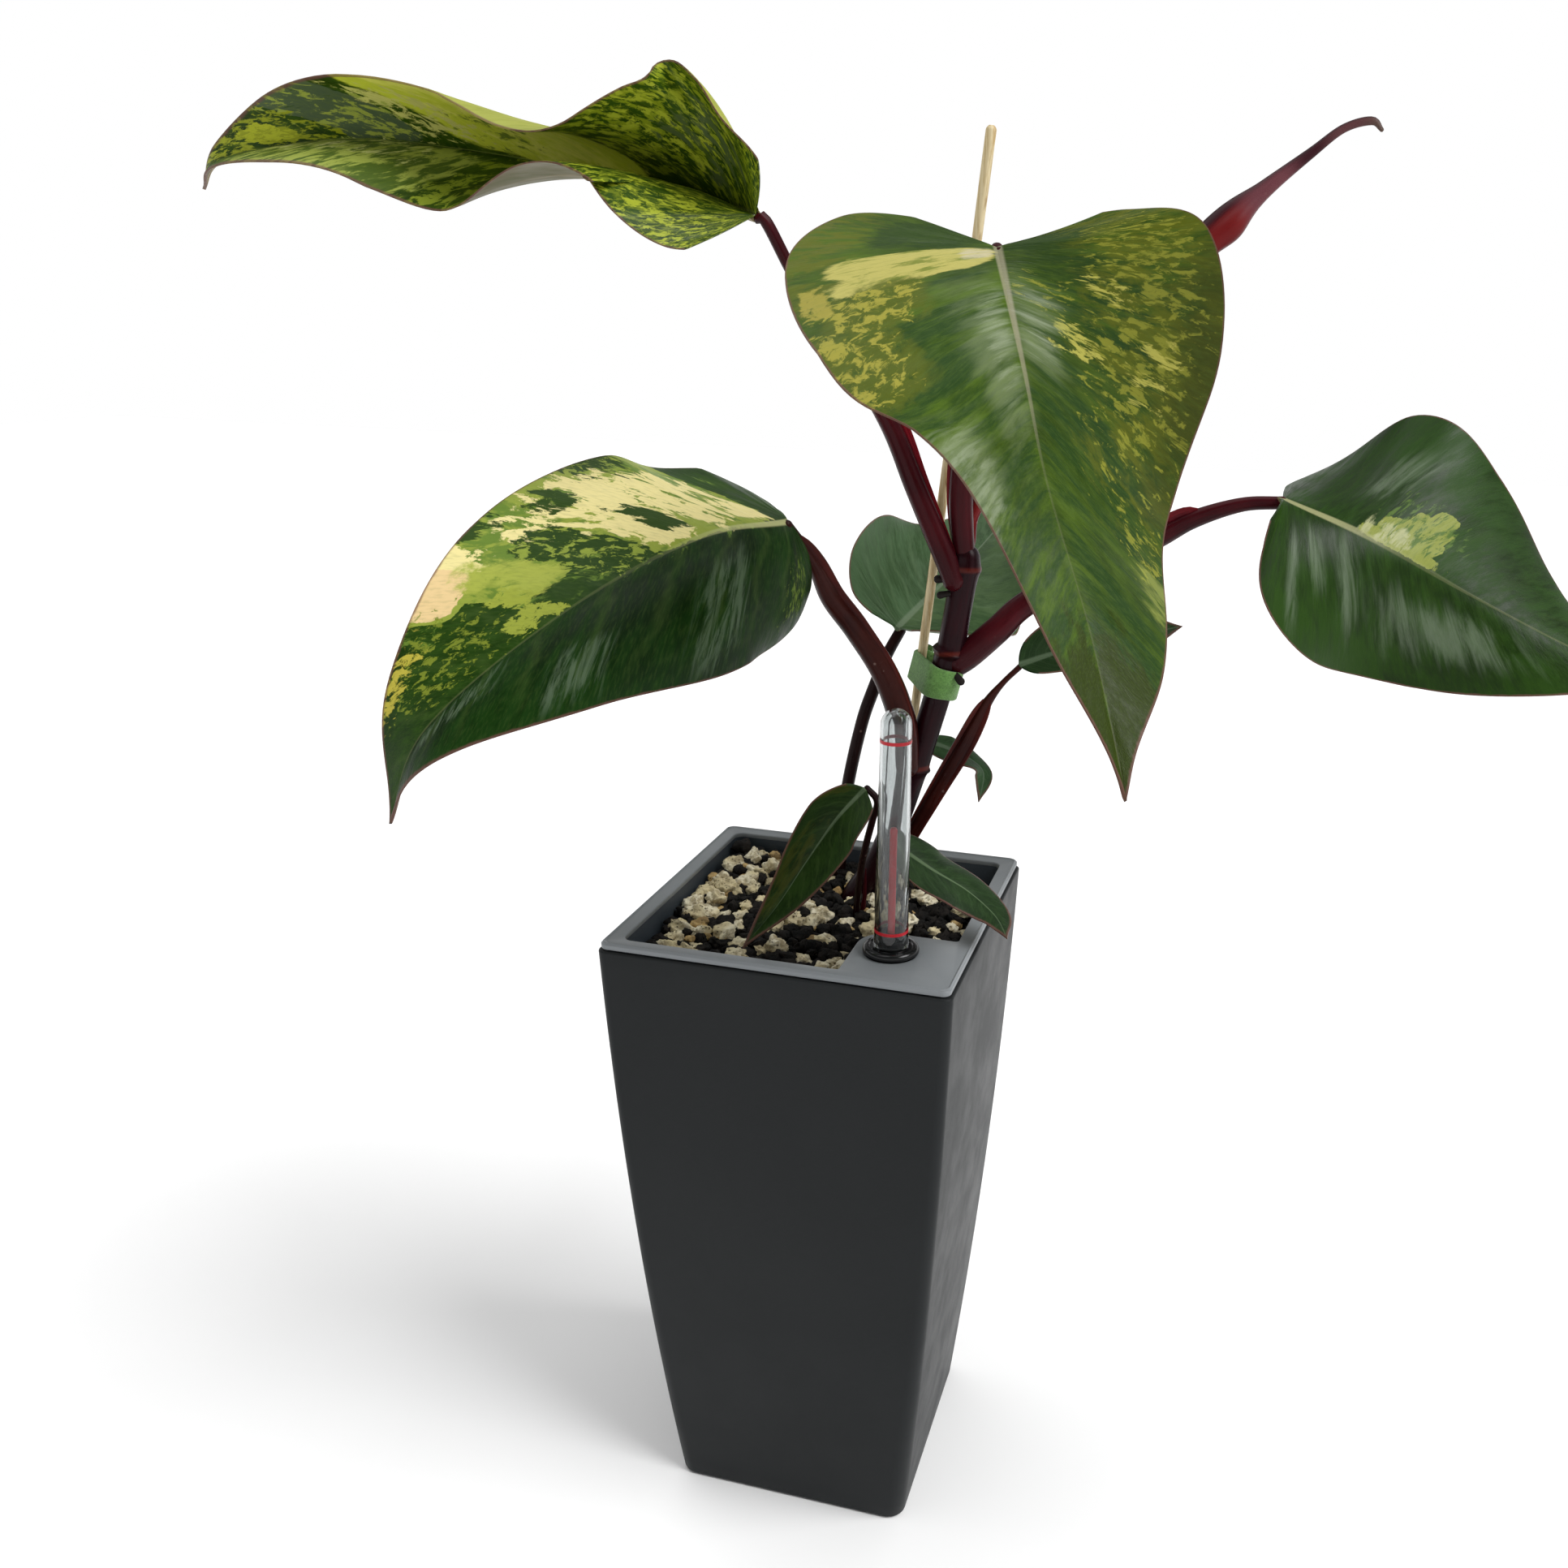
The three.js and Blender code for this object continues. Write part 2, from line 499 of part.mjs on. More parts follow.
// A bed of soil in the liner, covered with angular stones, with plain holes for all that stands in it
function makeSubstrate(rods) {
  const bottom = LINER_FLOOR + LINER_SKIN + CLEARANCE;
  const random = seededRandom(STONE_SEED);
  const down = new THREE.Vector3(SOIL_RISE[0], SOIL_RISE[1], -1);
  const depth = -SOIL_TOP / down.length();
  let bed = soilRoom(CLEARANCE, bottom, RIM_BOTTOM).trimByPlane(down.normalize().toArray(), depth);
  const draw = ([start, span]) => start + span * random();
  const shift = () => STONE_JITTER * (random() - 0.5);
  for (let row = 0; row * STONE_ROW_PITCH < 2 * STONE_REACH; row += 1) {
    for (let col = 0; col * STONE_PITCH < 2 * STONE_REACH; col += 1) {
      const x = -STONE_REACH + (col + (row % 2) / 2 + shift()) * STONE_PITCH;
      const y = -STONE_REACH + (row + shift()) * STONE_ROW_PITCH;
      const size = draw(STONE_SIZE);
      const stone = new THREE.IcosahedronGeometry(size, 0);
      stone.scale(1, draw(STONE_WIDTH), draw(STONE_HEIGHT));
      stone.rotateX(random() * 3);
      stone.rotateZ(random() * 6);
      stone.translate(x, y, soilLevel(x, y) + draw(STONE_LIFT));
      const underShelf = x > SHELF_EDGE_X + size && y < SHELF_EDGE_Y - size;
      if (!underShelf) {
        bed = bed.add(solidOf(stone));
      }
    }
  }
  bed = bed.intersect(soilRoom(CLEARANCE, bottom, RIM_BOTTOM));
  for (const hole of rods) {
    bed = bed.subtract(hole);
  }
  for (const [x, y] of WICK_PLACES) {
    bed = bed.subtract(cylinder(WICK_RADIUS + CLEARANCE, bottom - 1, WICK_TOP + CLEARANCE, x, y, 10));
  }
  return bed;
}

// Stem, stake and tie

function makeStem(spare = 0) {
  let stem = rod(STEM, STEM_RADII, 12, spare);
  for (const bud of ROOT_BUDS) {
    stem = stem.add(rod([bud.from, bud.to], [bud.radius, bud.radius * 0.8], 6, spare, 2));
  }
  return stem;
}

function fatStem() {
  return makeStem(CLEARANCE);
}

function stake(spare) {
  return rod([STAKE_FOOT, STAKE_TOP], [STAKE_RADIUS, STAKE_RADIUS], 10, spare, 4);
}

function pointAtHeight(points, z) {
  const curve = smoothCurve(points);
  let best = curve.getPoint(0);
  for (let i = 0; i <= 400; i += 1) {
    const p = curve.getPoint(i / 400);
    if (Math.abs(p.z - z) < Math.abs(best.z - z)) {
      best = p;
    }
  }
  return best;
}

// The outline of a strap drawn tight round two round rods in the plane z = 0
function strapOutline(a, ra, b, rb) {
  const points = [];
  const angle = Math.atan2(b.y - a.y, b.x - a.x);
  const span = a.distanceTo(b);
  const lean = Math.acos((ra - rb) / span);
  const steps = 8;
  for (let i = 0; i <= steps; i += 1) {
    const t = angle + lean + ((2 * Math.PI - 2 * lean) * i) / steps;
    points.push(new THREE.Vector2(a.x + ra * Math.cos(t), a.y + ra * Math.sin(t)));
  }
  for (let i = 0; i <= steps; i += 1) {
    const t = angle - lean + (2 * lean * i) / steps;
    points.push(new THREE.Vector2(b.x + rb * Math.cos(t), b.y + rb * Math.sin(t)));
  }
  return points;
}

function makeTie() {
  const stemPoint = pointAtHeight(STEM, TIE_Z);
  const stakePoint = pointAtHeight([STAKE_FOOT, STAKE_TOP], TIE_Z);
  const up = pointAtHeight(STEM, TIE_Z + 6).sub(pointAtHeight(STEM, TIE_Z - 6)).normalize();
  const turn = new THREE.Quaternion().setFromUnitVectors(new THREE.Vector3(0, 0, 1), up);
  const back = turn.clone().invert();
  const flat = stakePoint.clone().sub(stemPoint).applyQuaternion(back);
  const a = new THREE.Vector2(0, 0);
  const b = new THREE.Vector2(flat.x, flat.y);
  const shape = new THREE.Shape(strapOutline(a, TIE_IN_STEM + TIE_SKIN, b, TIE_IN_STAKE + TIE_SKIN));
  shape.holes.push(new THREE.Path(strapOutline(a, TIE_IN_STEM, b, TIE_IN_STAKE)));
  const geometry = new THREE.ExtrudeGeometry(shape, { depth: TIE_HEIGHT, bevelEnabled: false });
  geometry.translate(0, 0, -TIE_HEIGHT / 2);
  geometry.applyQuaternion(turn);
  geometry.translate(stemPoint.x, stemPoint.y, stemPoint.z);
  return solidOf(geometry)
    .subtract(fatStem())
    .subtract(stake(CLEARANCE))
    .subtract(rod(LEAVES.right.stalk, LEAVES.right.stalkRadii, 8, CLEARANCE));
}

// Leaves

// A point of a blade: s runs along the margin from base to tip, t from the midrib to the margin
function bladePoint(leaf, rib, length, s, t, side) {
  const k = side > 0 ? 0 : 1;
  const margin = leaf.young ? LANCE_MARGIN : HEART_MARGIN;
  const reach = leaf.lobes.map((lobe) => through(margin.map((m) => m[0] * (m[0] < 0 ? lobe : 1)), s));
  const mx = Math.min(reach[k], 1);
  const my = Math.max(through(margin.map((m) => m[1]), s), 0) * leaf.half[k];
  const root = THREE.MathUtils.clamp((reach[0] + reach[1]) / 2, 0, 1) ** 1.8;
  const x = root + (mx - root) * t ** 1.25;
  const at = THREE.MathUtils.clamp(x, 0, 1);
  const centre = rib.getPointAt(at);
  const along = rib.getTangentAt(at);
  centre.addScaledVector(along, Math.min(x, 0) * length);
  const face = new THREE.Vector3(...leaf.face);
  face.addScaledVector(along, -face.dot(along)).normalize();
  face.applyAxisAngle(along, THREE.MathUtils.degToRad(through(leaf.roll, at)));
  const across = new THREE.Vector3().crossVectors(along, face);
  const fold = THREE.MathUtils.degToRad(through(leaf.fold[k], s));
  const half = (THREE.MathUtils.degToRad(through(leaf.curl[k], s)) * t) / 2;
  const chord = (Math.abs(half) < 1e-6 ? 1 : Math.sin(half) / half) * t * my;
  return centre
    .addScaledVector(across, side * Math.cos(fold + half) * chord)
    .addScaledVector(face, Math.sin(fold + half) * chord);
}

// The blade as a sheet without thickness: shared corner points and triangles that face the upper side
function bladeSheet(leaf, columns, rows) {
  const rib = smoothCurve(leaf.rib);
  const length = rib.getLength();
  const points = [];
  const known = new Map();
  const keep = (p) => {
    const key = p.toArray().map((c) => c.toFixed(3)).join();
    if (!known.has(key)) {
      known.set(key, points.length);
      points.push(p);
    }
    return known.get(key);
  };
  const triangles = [];
  for (const side of [1, -1]) {
    const lobe = leaf.lobes[side > 0 ? 0 : 1];
    const start = leaf.young ? 0.2 : THREE.MathUtils.clamp(0.32 - 0.55 * lobe, 0.15, 0.32);
    const first = Math.round(columns * start);
    const grid = [];
    for (let i = 0; i <= columns; i += 1) {
      const line = [];
      for (let j = 0; j <= rows; j += 1) {
        line.push(keep(bladePoint(leaf, rib, length, i / columns, j / rows, side)));
      }
      grid.push(line);
    }
    for (let i = first; i < columns; i += 1) {
      for (let j = 0; j < rows; j += 1) {
        const [a, b, c, d] = [grid[i][j], grid[i + 1][j], grid[i + 1][j + 1], grid[i][j + 1]];
        for (const [p, q, r] of [[a, b, c], [a, c, d]]) {
          if (p !== q && q !== r && r !== p) {
            triangles.push(side > 0 ? [p, r, q] : [p, q, r]);
          }
        }
      }
    }
  }
  return { points, triangles };
}

// Both faces of a sheet, half its thickness to each side, closed round the margin
function thicken({ points, triangles }, skin) {
  const normals = points.map(() => new THREE.Vector3());
  const edges = new Map();
  for (const tri of triangles) {
    const [a, b, c] = tri.map((i) => points[i]);
    const n = b.clone().sub(a).cross(c.clone().sub(a));
    for (let k = 0; k < 3; k += 1) {
      normals[tri[k]].add(n);
      edges.set(`${tri[k]},${tri[(k + 1) % 3]}`, [tri[k], tri[(k + 1) % 3]]);
    }
  }
  const positions = [];
  for (const sign of [1, -1]) {
    points.forEach((p, i) => {
      const q = p.clone().addScaledVector(normals[i].clone().normalize(), (sign * skin) / 2);
      positions.push(q.x, q.y, q.z);
    });
  }
  const under = points.length;
  const index = [];
  for (const [a, b, c] of triangles) {
    index.push(a, b, c, a + under, c + under, b + under);
  }
  for (const [u, v] of edges.values()) {
    if (!edges.has(`${v},${u}`)) {
      index.push(v, u, u + under, v, u + under, v + under);
    }
  }
  const geometry = new THREE.BufferGeometry();
  geometry.setAttribute('position', new THREE.Float32BufferAttribute(positions, 3));
  geometry.setIndex(index);
  return geometry;
}

function makeBlade(leaf) {
  const grade = leaf.young ? SMALL_BLADE : BIG_BLADE;
  const blade = solidOf(thicken(bladeSheet(leaf, grade.columns, grade.rows), grade.skin));
  return blade.subtract(rod(leaf.stalk, leaf.stalkRadii, 8, CLEARANCE));
}

function makeStalk(name) {
  const leaf = LEAVES[name];
  let stalk = rod(leaf.stalk, leaf.stalkRadii).subtract(fatStem());
  if (name === 'upper_left') {
    stalk = stalk.subtract(rod(LEAVES.front.stalk, LEAVES.front.stalkRadii, 8, CLEARANCE));
  }
  return stalk;
}

function makeSpear() {
  return rod(SPEAR, SPEAR_RADII, 8)
    .subtract(fatStem())
    .subtract(rod(LEAVES.front.stalk, LEAVES.front.stalkRadii, 8, CLEARANCE));
}

// The scene

const plant = new THREE.Group();

function place(name, solid, colour, roughness, extra = {}) {
  const material = new THREE.MeshStandardMaterial({ color: colour, roughness, metalness: 0, ...extra });
  const mesh = new THREE.Mesh(geometryOf(solid), material);
  mesh.name = name;
  plant.add(mesh);
}

place('planter_shell', makeShell(), COLOURS.anthracite, 0.55);
place('planting_liner', makeLiner(), COLOURS.rimGrey, 0.5);
place('water_gauge_foot', makeGaugeFoot(), COLOURS.black, 0.35);
place('water_gauge_tube', makeGaugeTube(), COLOURS.clear, 0.08, { transparent: true, opacity: 0.35 });
place('water_gauge_float', makeFloat(), COLOURS.red, 0.4);
place('water_gauge_rod', makeGaugeRod(), COLOURS.red, 0.4);
WICK_PLACES.forEach((at, i) => place(`wick_${i + 1}`, makeWick(at), COLOURS.felt, 0.95));

const standing = [fatStem(), stake(CLEARANCE)];
for (const name of Object.keys(LEAVES)) {
  standing.push(rod(LEAVES[name].stalk, LEAVES[name].stalkRadii, 8, CLEARANCE));
}
place('substrate', makeSubstrate(standing), COLOURS.stones, 0.9);
place('bamboo_stake', stake(0), COLOURS.bamboo, 0.6);
place('stem_tie', makeTie(), COLOURS.tie, 0.95);
place('main_stem', makeStem(), COLOURS.maroon, 0.4);
for (const name of Object.keys(LEAVES)) {
  place(`petiole_${name}`, makeStalk(name), COLOURS.maroon, 0.4);
  place(`blade_${name}`, makeBlade(LEAVES[name]), COLOURS.leaf, 0.4);
}
place('new_leaf_spear', makeSpear(), COLOURS.brightRed, 0.4);

export default plant;
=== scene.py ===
"""The looks of a potted strawberry shake philodendron in a square self-watering planter.

Sizes are in millimetres until a mesh is made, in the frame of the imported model: +Z up, the planter's front
face looks along -Y, and the origin is the centre of its underside.
"""

import logging
import math
import random
from collections.abc import Callable, Mapping, Sequence
from dataclasses import dataclass, field
from enum import Enum
from functools import cache

import bpy
import numpy as np
from mathutils import Euler, Matrix, Vector, noise


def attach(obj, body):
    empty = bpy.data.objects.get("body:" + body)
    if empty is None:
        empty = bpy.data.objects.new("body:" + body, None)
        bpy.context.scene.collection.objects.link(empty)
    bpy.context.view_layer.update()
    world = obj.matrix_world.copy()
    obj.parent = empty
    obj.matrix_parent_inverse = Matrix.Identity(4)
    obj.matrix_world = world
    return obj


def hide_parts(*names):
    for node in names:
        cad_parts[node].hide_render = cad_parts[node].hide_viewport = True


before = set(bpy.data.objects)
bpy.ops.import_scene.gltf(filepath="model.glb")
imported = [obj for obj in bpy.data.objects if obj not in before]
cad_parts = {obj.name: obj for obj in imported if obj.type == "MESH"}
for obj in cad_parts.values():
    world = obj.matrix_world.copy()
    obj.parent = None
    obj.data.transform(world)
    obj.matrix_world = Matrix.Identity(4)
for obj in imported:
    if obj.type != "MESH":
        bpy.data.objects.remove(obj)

log = logging.getLogger("philodendron")

MM = 0.001
Point = tuple[float, float, float]
Pair = tuple[float, float]
Array = np.ndarray
Material = bpy.types.Material
Socket = bpy.types.NodeSocket
Tree = bpy.types.NodeTree

# The planter's driving dimensions
POT_TOP_HALF = 45.0
POT_FOOT_HALF = 34.6
POT_HEIGHT = 180.0
POT_BULGE = 0.69
POT_WALL = 2.0
POT_FLOOR = 2.5
POT_CORNER = 2.5
SHELL_TOP = 178.2
RIM_BOTTOM = 178.5
RIM_TOP = 180.0
RIM_OUTER = 44.3
LINER_FLOOR = 70.0
LINER_FOOT_HALF = 36.5
LINER_TOP_HALF = 42.4
LINER_WALL = 2.4
SHELF_EDGE_X = 16.0
SHELF_EDGE_Y = -16.0
SHELF_CORNER = 8.0
GAUGE_AT = (25.5, -27.0)
SOIL_TOP = 172.0
SOIL_RISE = (-0.055, 0.04)

# The stem, stake and tie
STEM = (
    (-4, 16, 130), (0.5, 20, 167), (8, 21.5, 182), (14, 21, 197), (18.2, 19.4, 210), (19, 19, 213),
    (20, 19, 216), (24, 19.5, 231), (26.4, 20, 241.5), (27, 20, 244), (27.6, 20, 246.5), (29.4, 20, 260),
    (30, 20, 265), (30.2, 20, 268),
)
STEM_RADII = (3, 3.5, 3.5, 3.5, 3.5, 4, 3.5, 3.5, 3.6, 4.1, 3.6, 3.5, 3.9, 3.5)
# Heights of the stem's thicker places
STEM_NODES = (213.0, 244.0, 265.0)
STAKE_FOOT = (4.5, 33.5, 120)
STAKE_TOP = (31.6, 20, 359.6)
STAKE_RADIUS = 1.2
TIE_Z = 236.5


class Body(Enum):
    """The bodies that pieces ride on."""

    ROOT = "root"
    FLOAT = "float"


class Slot(Enum):
    """The record's material slots."""

    PLANTER = "planter_plastic"
    LINER = "liner_plastic"
    GAUGE_BLACK = "gauge_black"
    GAUGE_CLEAR = "gauge_clear"
    GAUGE_RED = "gauge_red"
    WICK = "wick_felt"
    SUBSTRATE = "mineral_substrate"
    BAMBOO = "bamboo"
    TIE = "tie_felt"
    STEM = "stem_skin"
    BLADE = "leaf_blade"
    NEW_LEAF = "new_leaf"


class Side(Enum):
    """The two halves of a blade, seen from base to tip with the face upward."""

    RIGHT = 1
    LEFT = -1

    @property
    def index(self) -> int:
        """The half's place in a pair of values."""
        return 0 if self is Side.RIGHT else 1


def colour(code: str) -> tuple[float, float, float, float]:
    """Turns a web colour into a linear one.

    Args:
        code: Six hexadecimal digits.

    Returns:
        Red, green, blue and full alpha, linear.
    """
    parts = [int(code[i:i + 2], 16) / 255 for i in (0, 2, 4)]
    linear = [c / 12.92 if c <= 0.04045 else ((c + 0.055) / 1.055) ** 2.4 for c in parts]
    return (*linear, 1.0)


def through(values: Sequence[float], u: Array | float) -> Array:
    """A smooth value through evenly spaced ones.

    Args:
        values: The values to pass through.
        u: Where to read it, from 0 to 1.

    Returns:
        The value at each u.
    """
    line = np.asarray(values, float)
    last = len(line) - 1
    x = np.clip(np.asarray(u, float), 0, 1) * last
    i = np.minimum(np.floor(x).astype(int), last - 1)
    f = x - i
    padded = np.concatenate([[2 * line[0] - line[1]], line, [2 * line[-1] - line[-2]]])
    p0, p1, p2, p3 = (padded[i + k] for k in range(4))
    return 0.5 * (2 * p1 + (p2 - p0) * f + (2 * p0 - 5 * p1 + 4 * p2 - p3) * f**2
                  + (3 * p1 - p0 - 3 * p2 + p3) * f**3)


def unit(vectors: Array) -> Array:
    """Vectors of length one along the given ones."""
    return vectors / np.maximum(np.linalg.norm(vectors, axis=-1, keepdims=True), 1e-9)


def square_to(look: Point, along: Array) -> Array:
    """The way nearest to look that stands square to each direction."""
    ways = np.asarray(look, float)
    return unit(ways - (along @ ways)[..., None] * along)


def soil_level(x: Array | float, y: Array | float) -> Array | float:
    """The height of the substrate's surface, which rises to the left and to the back."""
    return SOIL_TOP + SOIL_RISE[0] * x + SOIL_RISE[1] * y


def smoothstep(low: float, high: float, x: Array) -> Array:
    """Rises from 0 at low to 1 at high, with flat ends."""
    t = np.clip((x - low) / (high - low), 0, 1)
    return t * t * (3 - 2 * t)


class Curve:
    """A smooth curve through points, read by its own parameter or by the share of its length."""

    DIVISIONS = 200

    def __init__(self, points: Sequence[Point]) -> None:
        """Keeps the points and measures the curve.

        Args:
            points: The points that it passes through.
        """
        self.points = np.asarray(points, float)
        steps = np.linspace(0, 1, self.DIVISIONS + 1)
        spans = np.linalg.norm(np.diff(self.at(steps), axis=0), axis=1)
        self.lengths = np.concatenate([[0], np.cumsum(spans)])
        self.length = float(self.lengths[-1])
        self.steps = steps

    def at(self, t: Array) -> Array:
        """Points of the curve at its own parameter, from 0 to 1."""
        return np.stack([through(self.points[:, k], t) for k in range(3)], axis=-1)

    def parameter(self, share: Array) -> Array:
        """The curve's own parameter at a share of its length."""
        return np.interp(np.asarray(share, float) * self.length, self.lengths, self.steps)

    def place(self, share: Array) -> tuple[Array, Array]:
        """Points and directions at shares of the length.

        Args:
            share: Shares of the length, from 0 to 1.

        Returns:
            The points and the unit tangents there.
        """
        t = self.parameter(share)
        delta = 1e-4
        ahead = self.at(np.minimum(t + delta, 1))
        behind = self.at(np.maximum(t - delta, 0))
        return self.at(t), unit(ahead - behind)


@dataclass
class Shape:
    """Points and faces in millimetres, with texture coordinates for each point and a finish for each face."""

    points: Array
    faces: list[tuple[int, ...]]
    layers: dict[str, Array] = field(default_factory=dict)
    finishes: list[int] = field(default_factory=list)

    def join(self, other: "Shape", finish: int = 0) -> None:
        """Adds another shape's points and faces to this one.

        Args:
            other: The shape to add, with the same layers.
            finish: The number of the material that its faces take.
        """
        count = len(self.points)
        if not self.finishes:
            self.finishes = [0] * len(self.faces)
        self.faces += [tuple(i + count for i in face) for face in other.faces]
        self.finishes += other.finishes or [finish] * len(other.faces)
        self.points = np.concatenate([self.points, other.points])
        for name in self.layers:
            self.layers[name] = np.concatenate([self.layers[name], other.layers[name]])

    def build(self, name: str, materials: Sequence[Material], sharp: float = 35.0) -> bpy.types.Object:
        """Makes the Blender object.

        Args:
            name: The piece's name.
            materials: Its materials, in the order of the faces' finishes.
            sharp: Edges bent by more degrees than this stay sharp.

        Returns:
            The new object, linked to the scene.
        """
        mesh = bpy.data.meshes.new(name)
        mesh.from_pydata((self.points * MM).tolist(), [], self.faces)
        for layer, values in self.layers.items():
            corners = np.zeros(len(mesh.loops), np.int32)
            mesh.loops.foreach_get("vertex_index", corners)
            texture = mesh.uv_layers.new(name=layer)
            texture.data.foreach_set("uv", values[corners].astype(np.float32).ravel())
        for material in materials:
            mesh.materials.append(material)
        if self.finishes:
            mesh.polygons.foreach_set("material_index", self.finishes)
        mesh.update()
        mesh.shade_smooth()
        mesh.set_sharp_from_angle(angle=math.radians(sharp))
        piece = bpy.data.objects.new(name, mesh)
        bpy.context.scene.collection.objects.link(piece)
        return piece


def settle(piece: bpy.types.Object, nodes: Sequence[str] = (), body: Body = Body.ROOT) -> None:
    """Ties a piece to its body and the nodes that it stands for.

    Args:
        piece: The piece.
        nodes: The nodes that it replaces.
        body: The body that it rides on.
    """
    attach(piece, body.value)
    if nodes:
        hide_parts(*nodes)
    log.info("%s: %d faces", piece.name, len(piece.data.polygons))


def loft(rings: Sequence[Array], caps: bool = True) -> Shape:
    """A skin over rings of equally many points.

    Args:
        rings: The rings, each counted anticlockwise seen against the direction of travel.
        caps: Whether the first and the last ring are closed.

    Returns:
        The skin.
    """
    count = len(rings[0])
    faces: list[tuple[int, ...]] = []
    for r in range(len(rings) - 1):
        for k in range(count):
            a = r * count + k
            b = r * count + (k + 1) % count
            faces.append((a, b, b + count, a + count))
    if caps:
        last = (len(rings) - 1) * count
        faces.append(tuple(range(count - 1, -1, -1)))
        faces.append(tuple(range(last, last + count)))
    return Shape(np.concatenate(rings), faces)


def weld(shape: Shape) -> Shape:
    """Joins points that lie in one place.

    Args:
        shape: The shape to weld, without finishes.

    Returns:
        The shape with shared points, without collapsed faces.
    """
    found: dict[tuple[float, ...], int] = {}
    kept = []
    number = []
    for i, point in enumerate(shape.points):
        key = tuple(np.round(point, 3))
        if key not in found:
            found[key] = len(kept)
            kept.append(i)
        number.append(found[key])
    rings = [tuple(dict.fromkeys(number[i] for i in face)) for face in shape.faces]
    layers = {name: values[kept] for name, values in shape.layers.items()}
    return Shape(shape.points[kept], [ring for ring in rings if len(ring) > 2], layers)


def closed_loft(rings: Sequence[Array]) -> Shape:
    """A skin over rings that come back to the first one."""
    return weld(loft([*rings, rings[0]], caps=False))


def square_ring(half: float, corner: float, z: float, steps: int = 8) -> Array:
    """A square ring with round corners, anticlockwise from above.

    Args:
        half: Half the square's side.
        corner: The corners' radius.
        z: Its height.
        steps: Steps round each corner.

    Returns:
        The ring's points.
    """
    middle = (half - corner) * math.sqrt(2)
    rings = []
    for turn in (0, 0.5 * math.pi, math.pi, 1.5 * math.pi):
        a = turn + np.linspace(0, math.pi / 2, steps + 1)
        x = middle * math.cos(turn + math.pi / 4) + corner * np.cos(a)
        y = middle * math.sin(turn + math.pi / 4) + corner * np.sin(a)
        rings.append(np.stack([x, y, np.full(steps + 1, z)], axis=1))
    return np.concatenate(rings)


def lathe(profile: Sequence[Pair], centre: Pair, sides: int = 48) -> Shape:
    """A profile turned about an upright axis.

    Args:
        profile: Radius and height of each point. It closes where it ends on the axis or at its first point.
        centre: Where the axis stands.
        sides: Steps round the axis.

    Returns:
        The turned shape.
    """
    a = 2 * math.pi * np.arange(sides) / sides
    x, y = np.cos(a), np.sin(a)
    rings = [np.stack([centre[0] + r * x, centre[1] + r * y, np.full(sides, z)], axis=1) for r, z in profile]
    return weld(loft(rings, caps=False))


Section = Callable[[float, Array], Array]

# The rings of a rod's round end: how far out each lies and how wide it is, as parts of the radius
ROUND_END = ((0.75, 0.45), (0.5, 0.75), (0.2, 0.94))


def tube(points: Sequence[Point], radii: Sequence[float], front: Point, sides: int = 20, steps: int = 60,
         section: Section | None = None) -> Shape:
    """A round or shaped rod along a smooth curve, with round ends.

    Args:
        points: The points that it passes through.
        radii: Its radius at even steps.
        front: The way that its angle 0 looks.
        sides: Steps round it.
        steps: Steps along it.
        section: Scales the radius, from the share of the length and the angles round.

    Returns:
        The rod. Its layer "run" holds the distance along it in decimetres, and how far round from the front.
    """
    curve = Curve(points)
    share = np.linspace(0, 1, steps + 1)
    centres, along = curve.place(share)
    radius = through(radii, curve.parameter(share))
    angles = np.linspace(0, 2 * math.pi, sides, endpoint=False)
    out = square_to(front, along)
    across = np.cross(along, out)
    rings = []
    run = []

    def add(i: int, lift: float, scale: float) -> None:
        """Adds one ring, with lift as a part of the radius beyond its place.

        Args:
            i: The step along the curve.
            lift: How far beyond its place it lies, as a part of the radius.
            scale: How wide it is, as a part of the radius.
        """
        centre = centres[i] + along[i] * radius[i] * lift
        size = radius[i] * scale * (section(share[i], angles) if section else np.ones(sides))
        rings.append(centre + size[:, None] * (np.cos(angles)[:, None] * out[i]
                                               + np.sin(angles)[:, None] * across[i]))
        run.append(np.stack([np.full(sides, share[i] * curve.length / 100), 0.5 + 0.5 * np.cos(angles)],
                            axis=1))

    for lift, scale in ROUND_END:
        add(0, -lift, scale)
    for i in range(steps + 1):
        add(i, 0.0, 1.0)
    for lift, scale in reversed(ROUND_END):
        add(steps, lift, scale)
    shape = loft(rings)
    shape.layers["run"] = np.concatenate(run)
    return shape


# Node trees

Feed = Socket | float | int | tuple


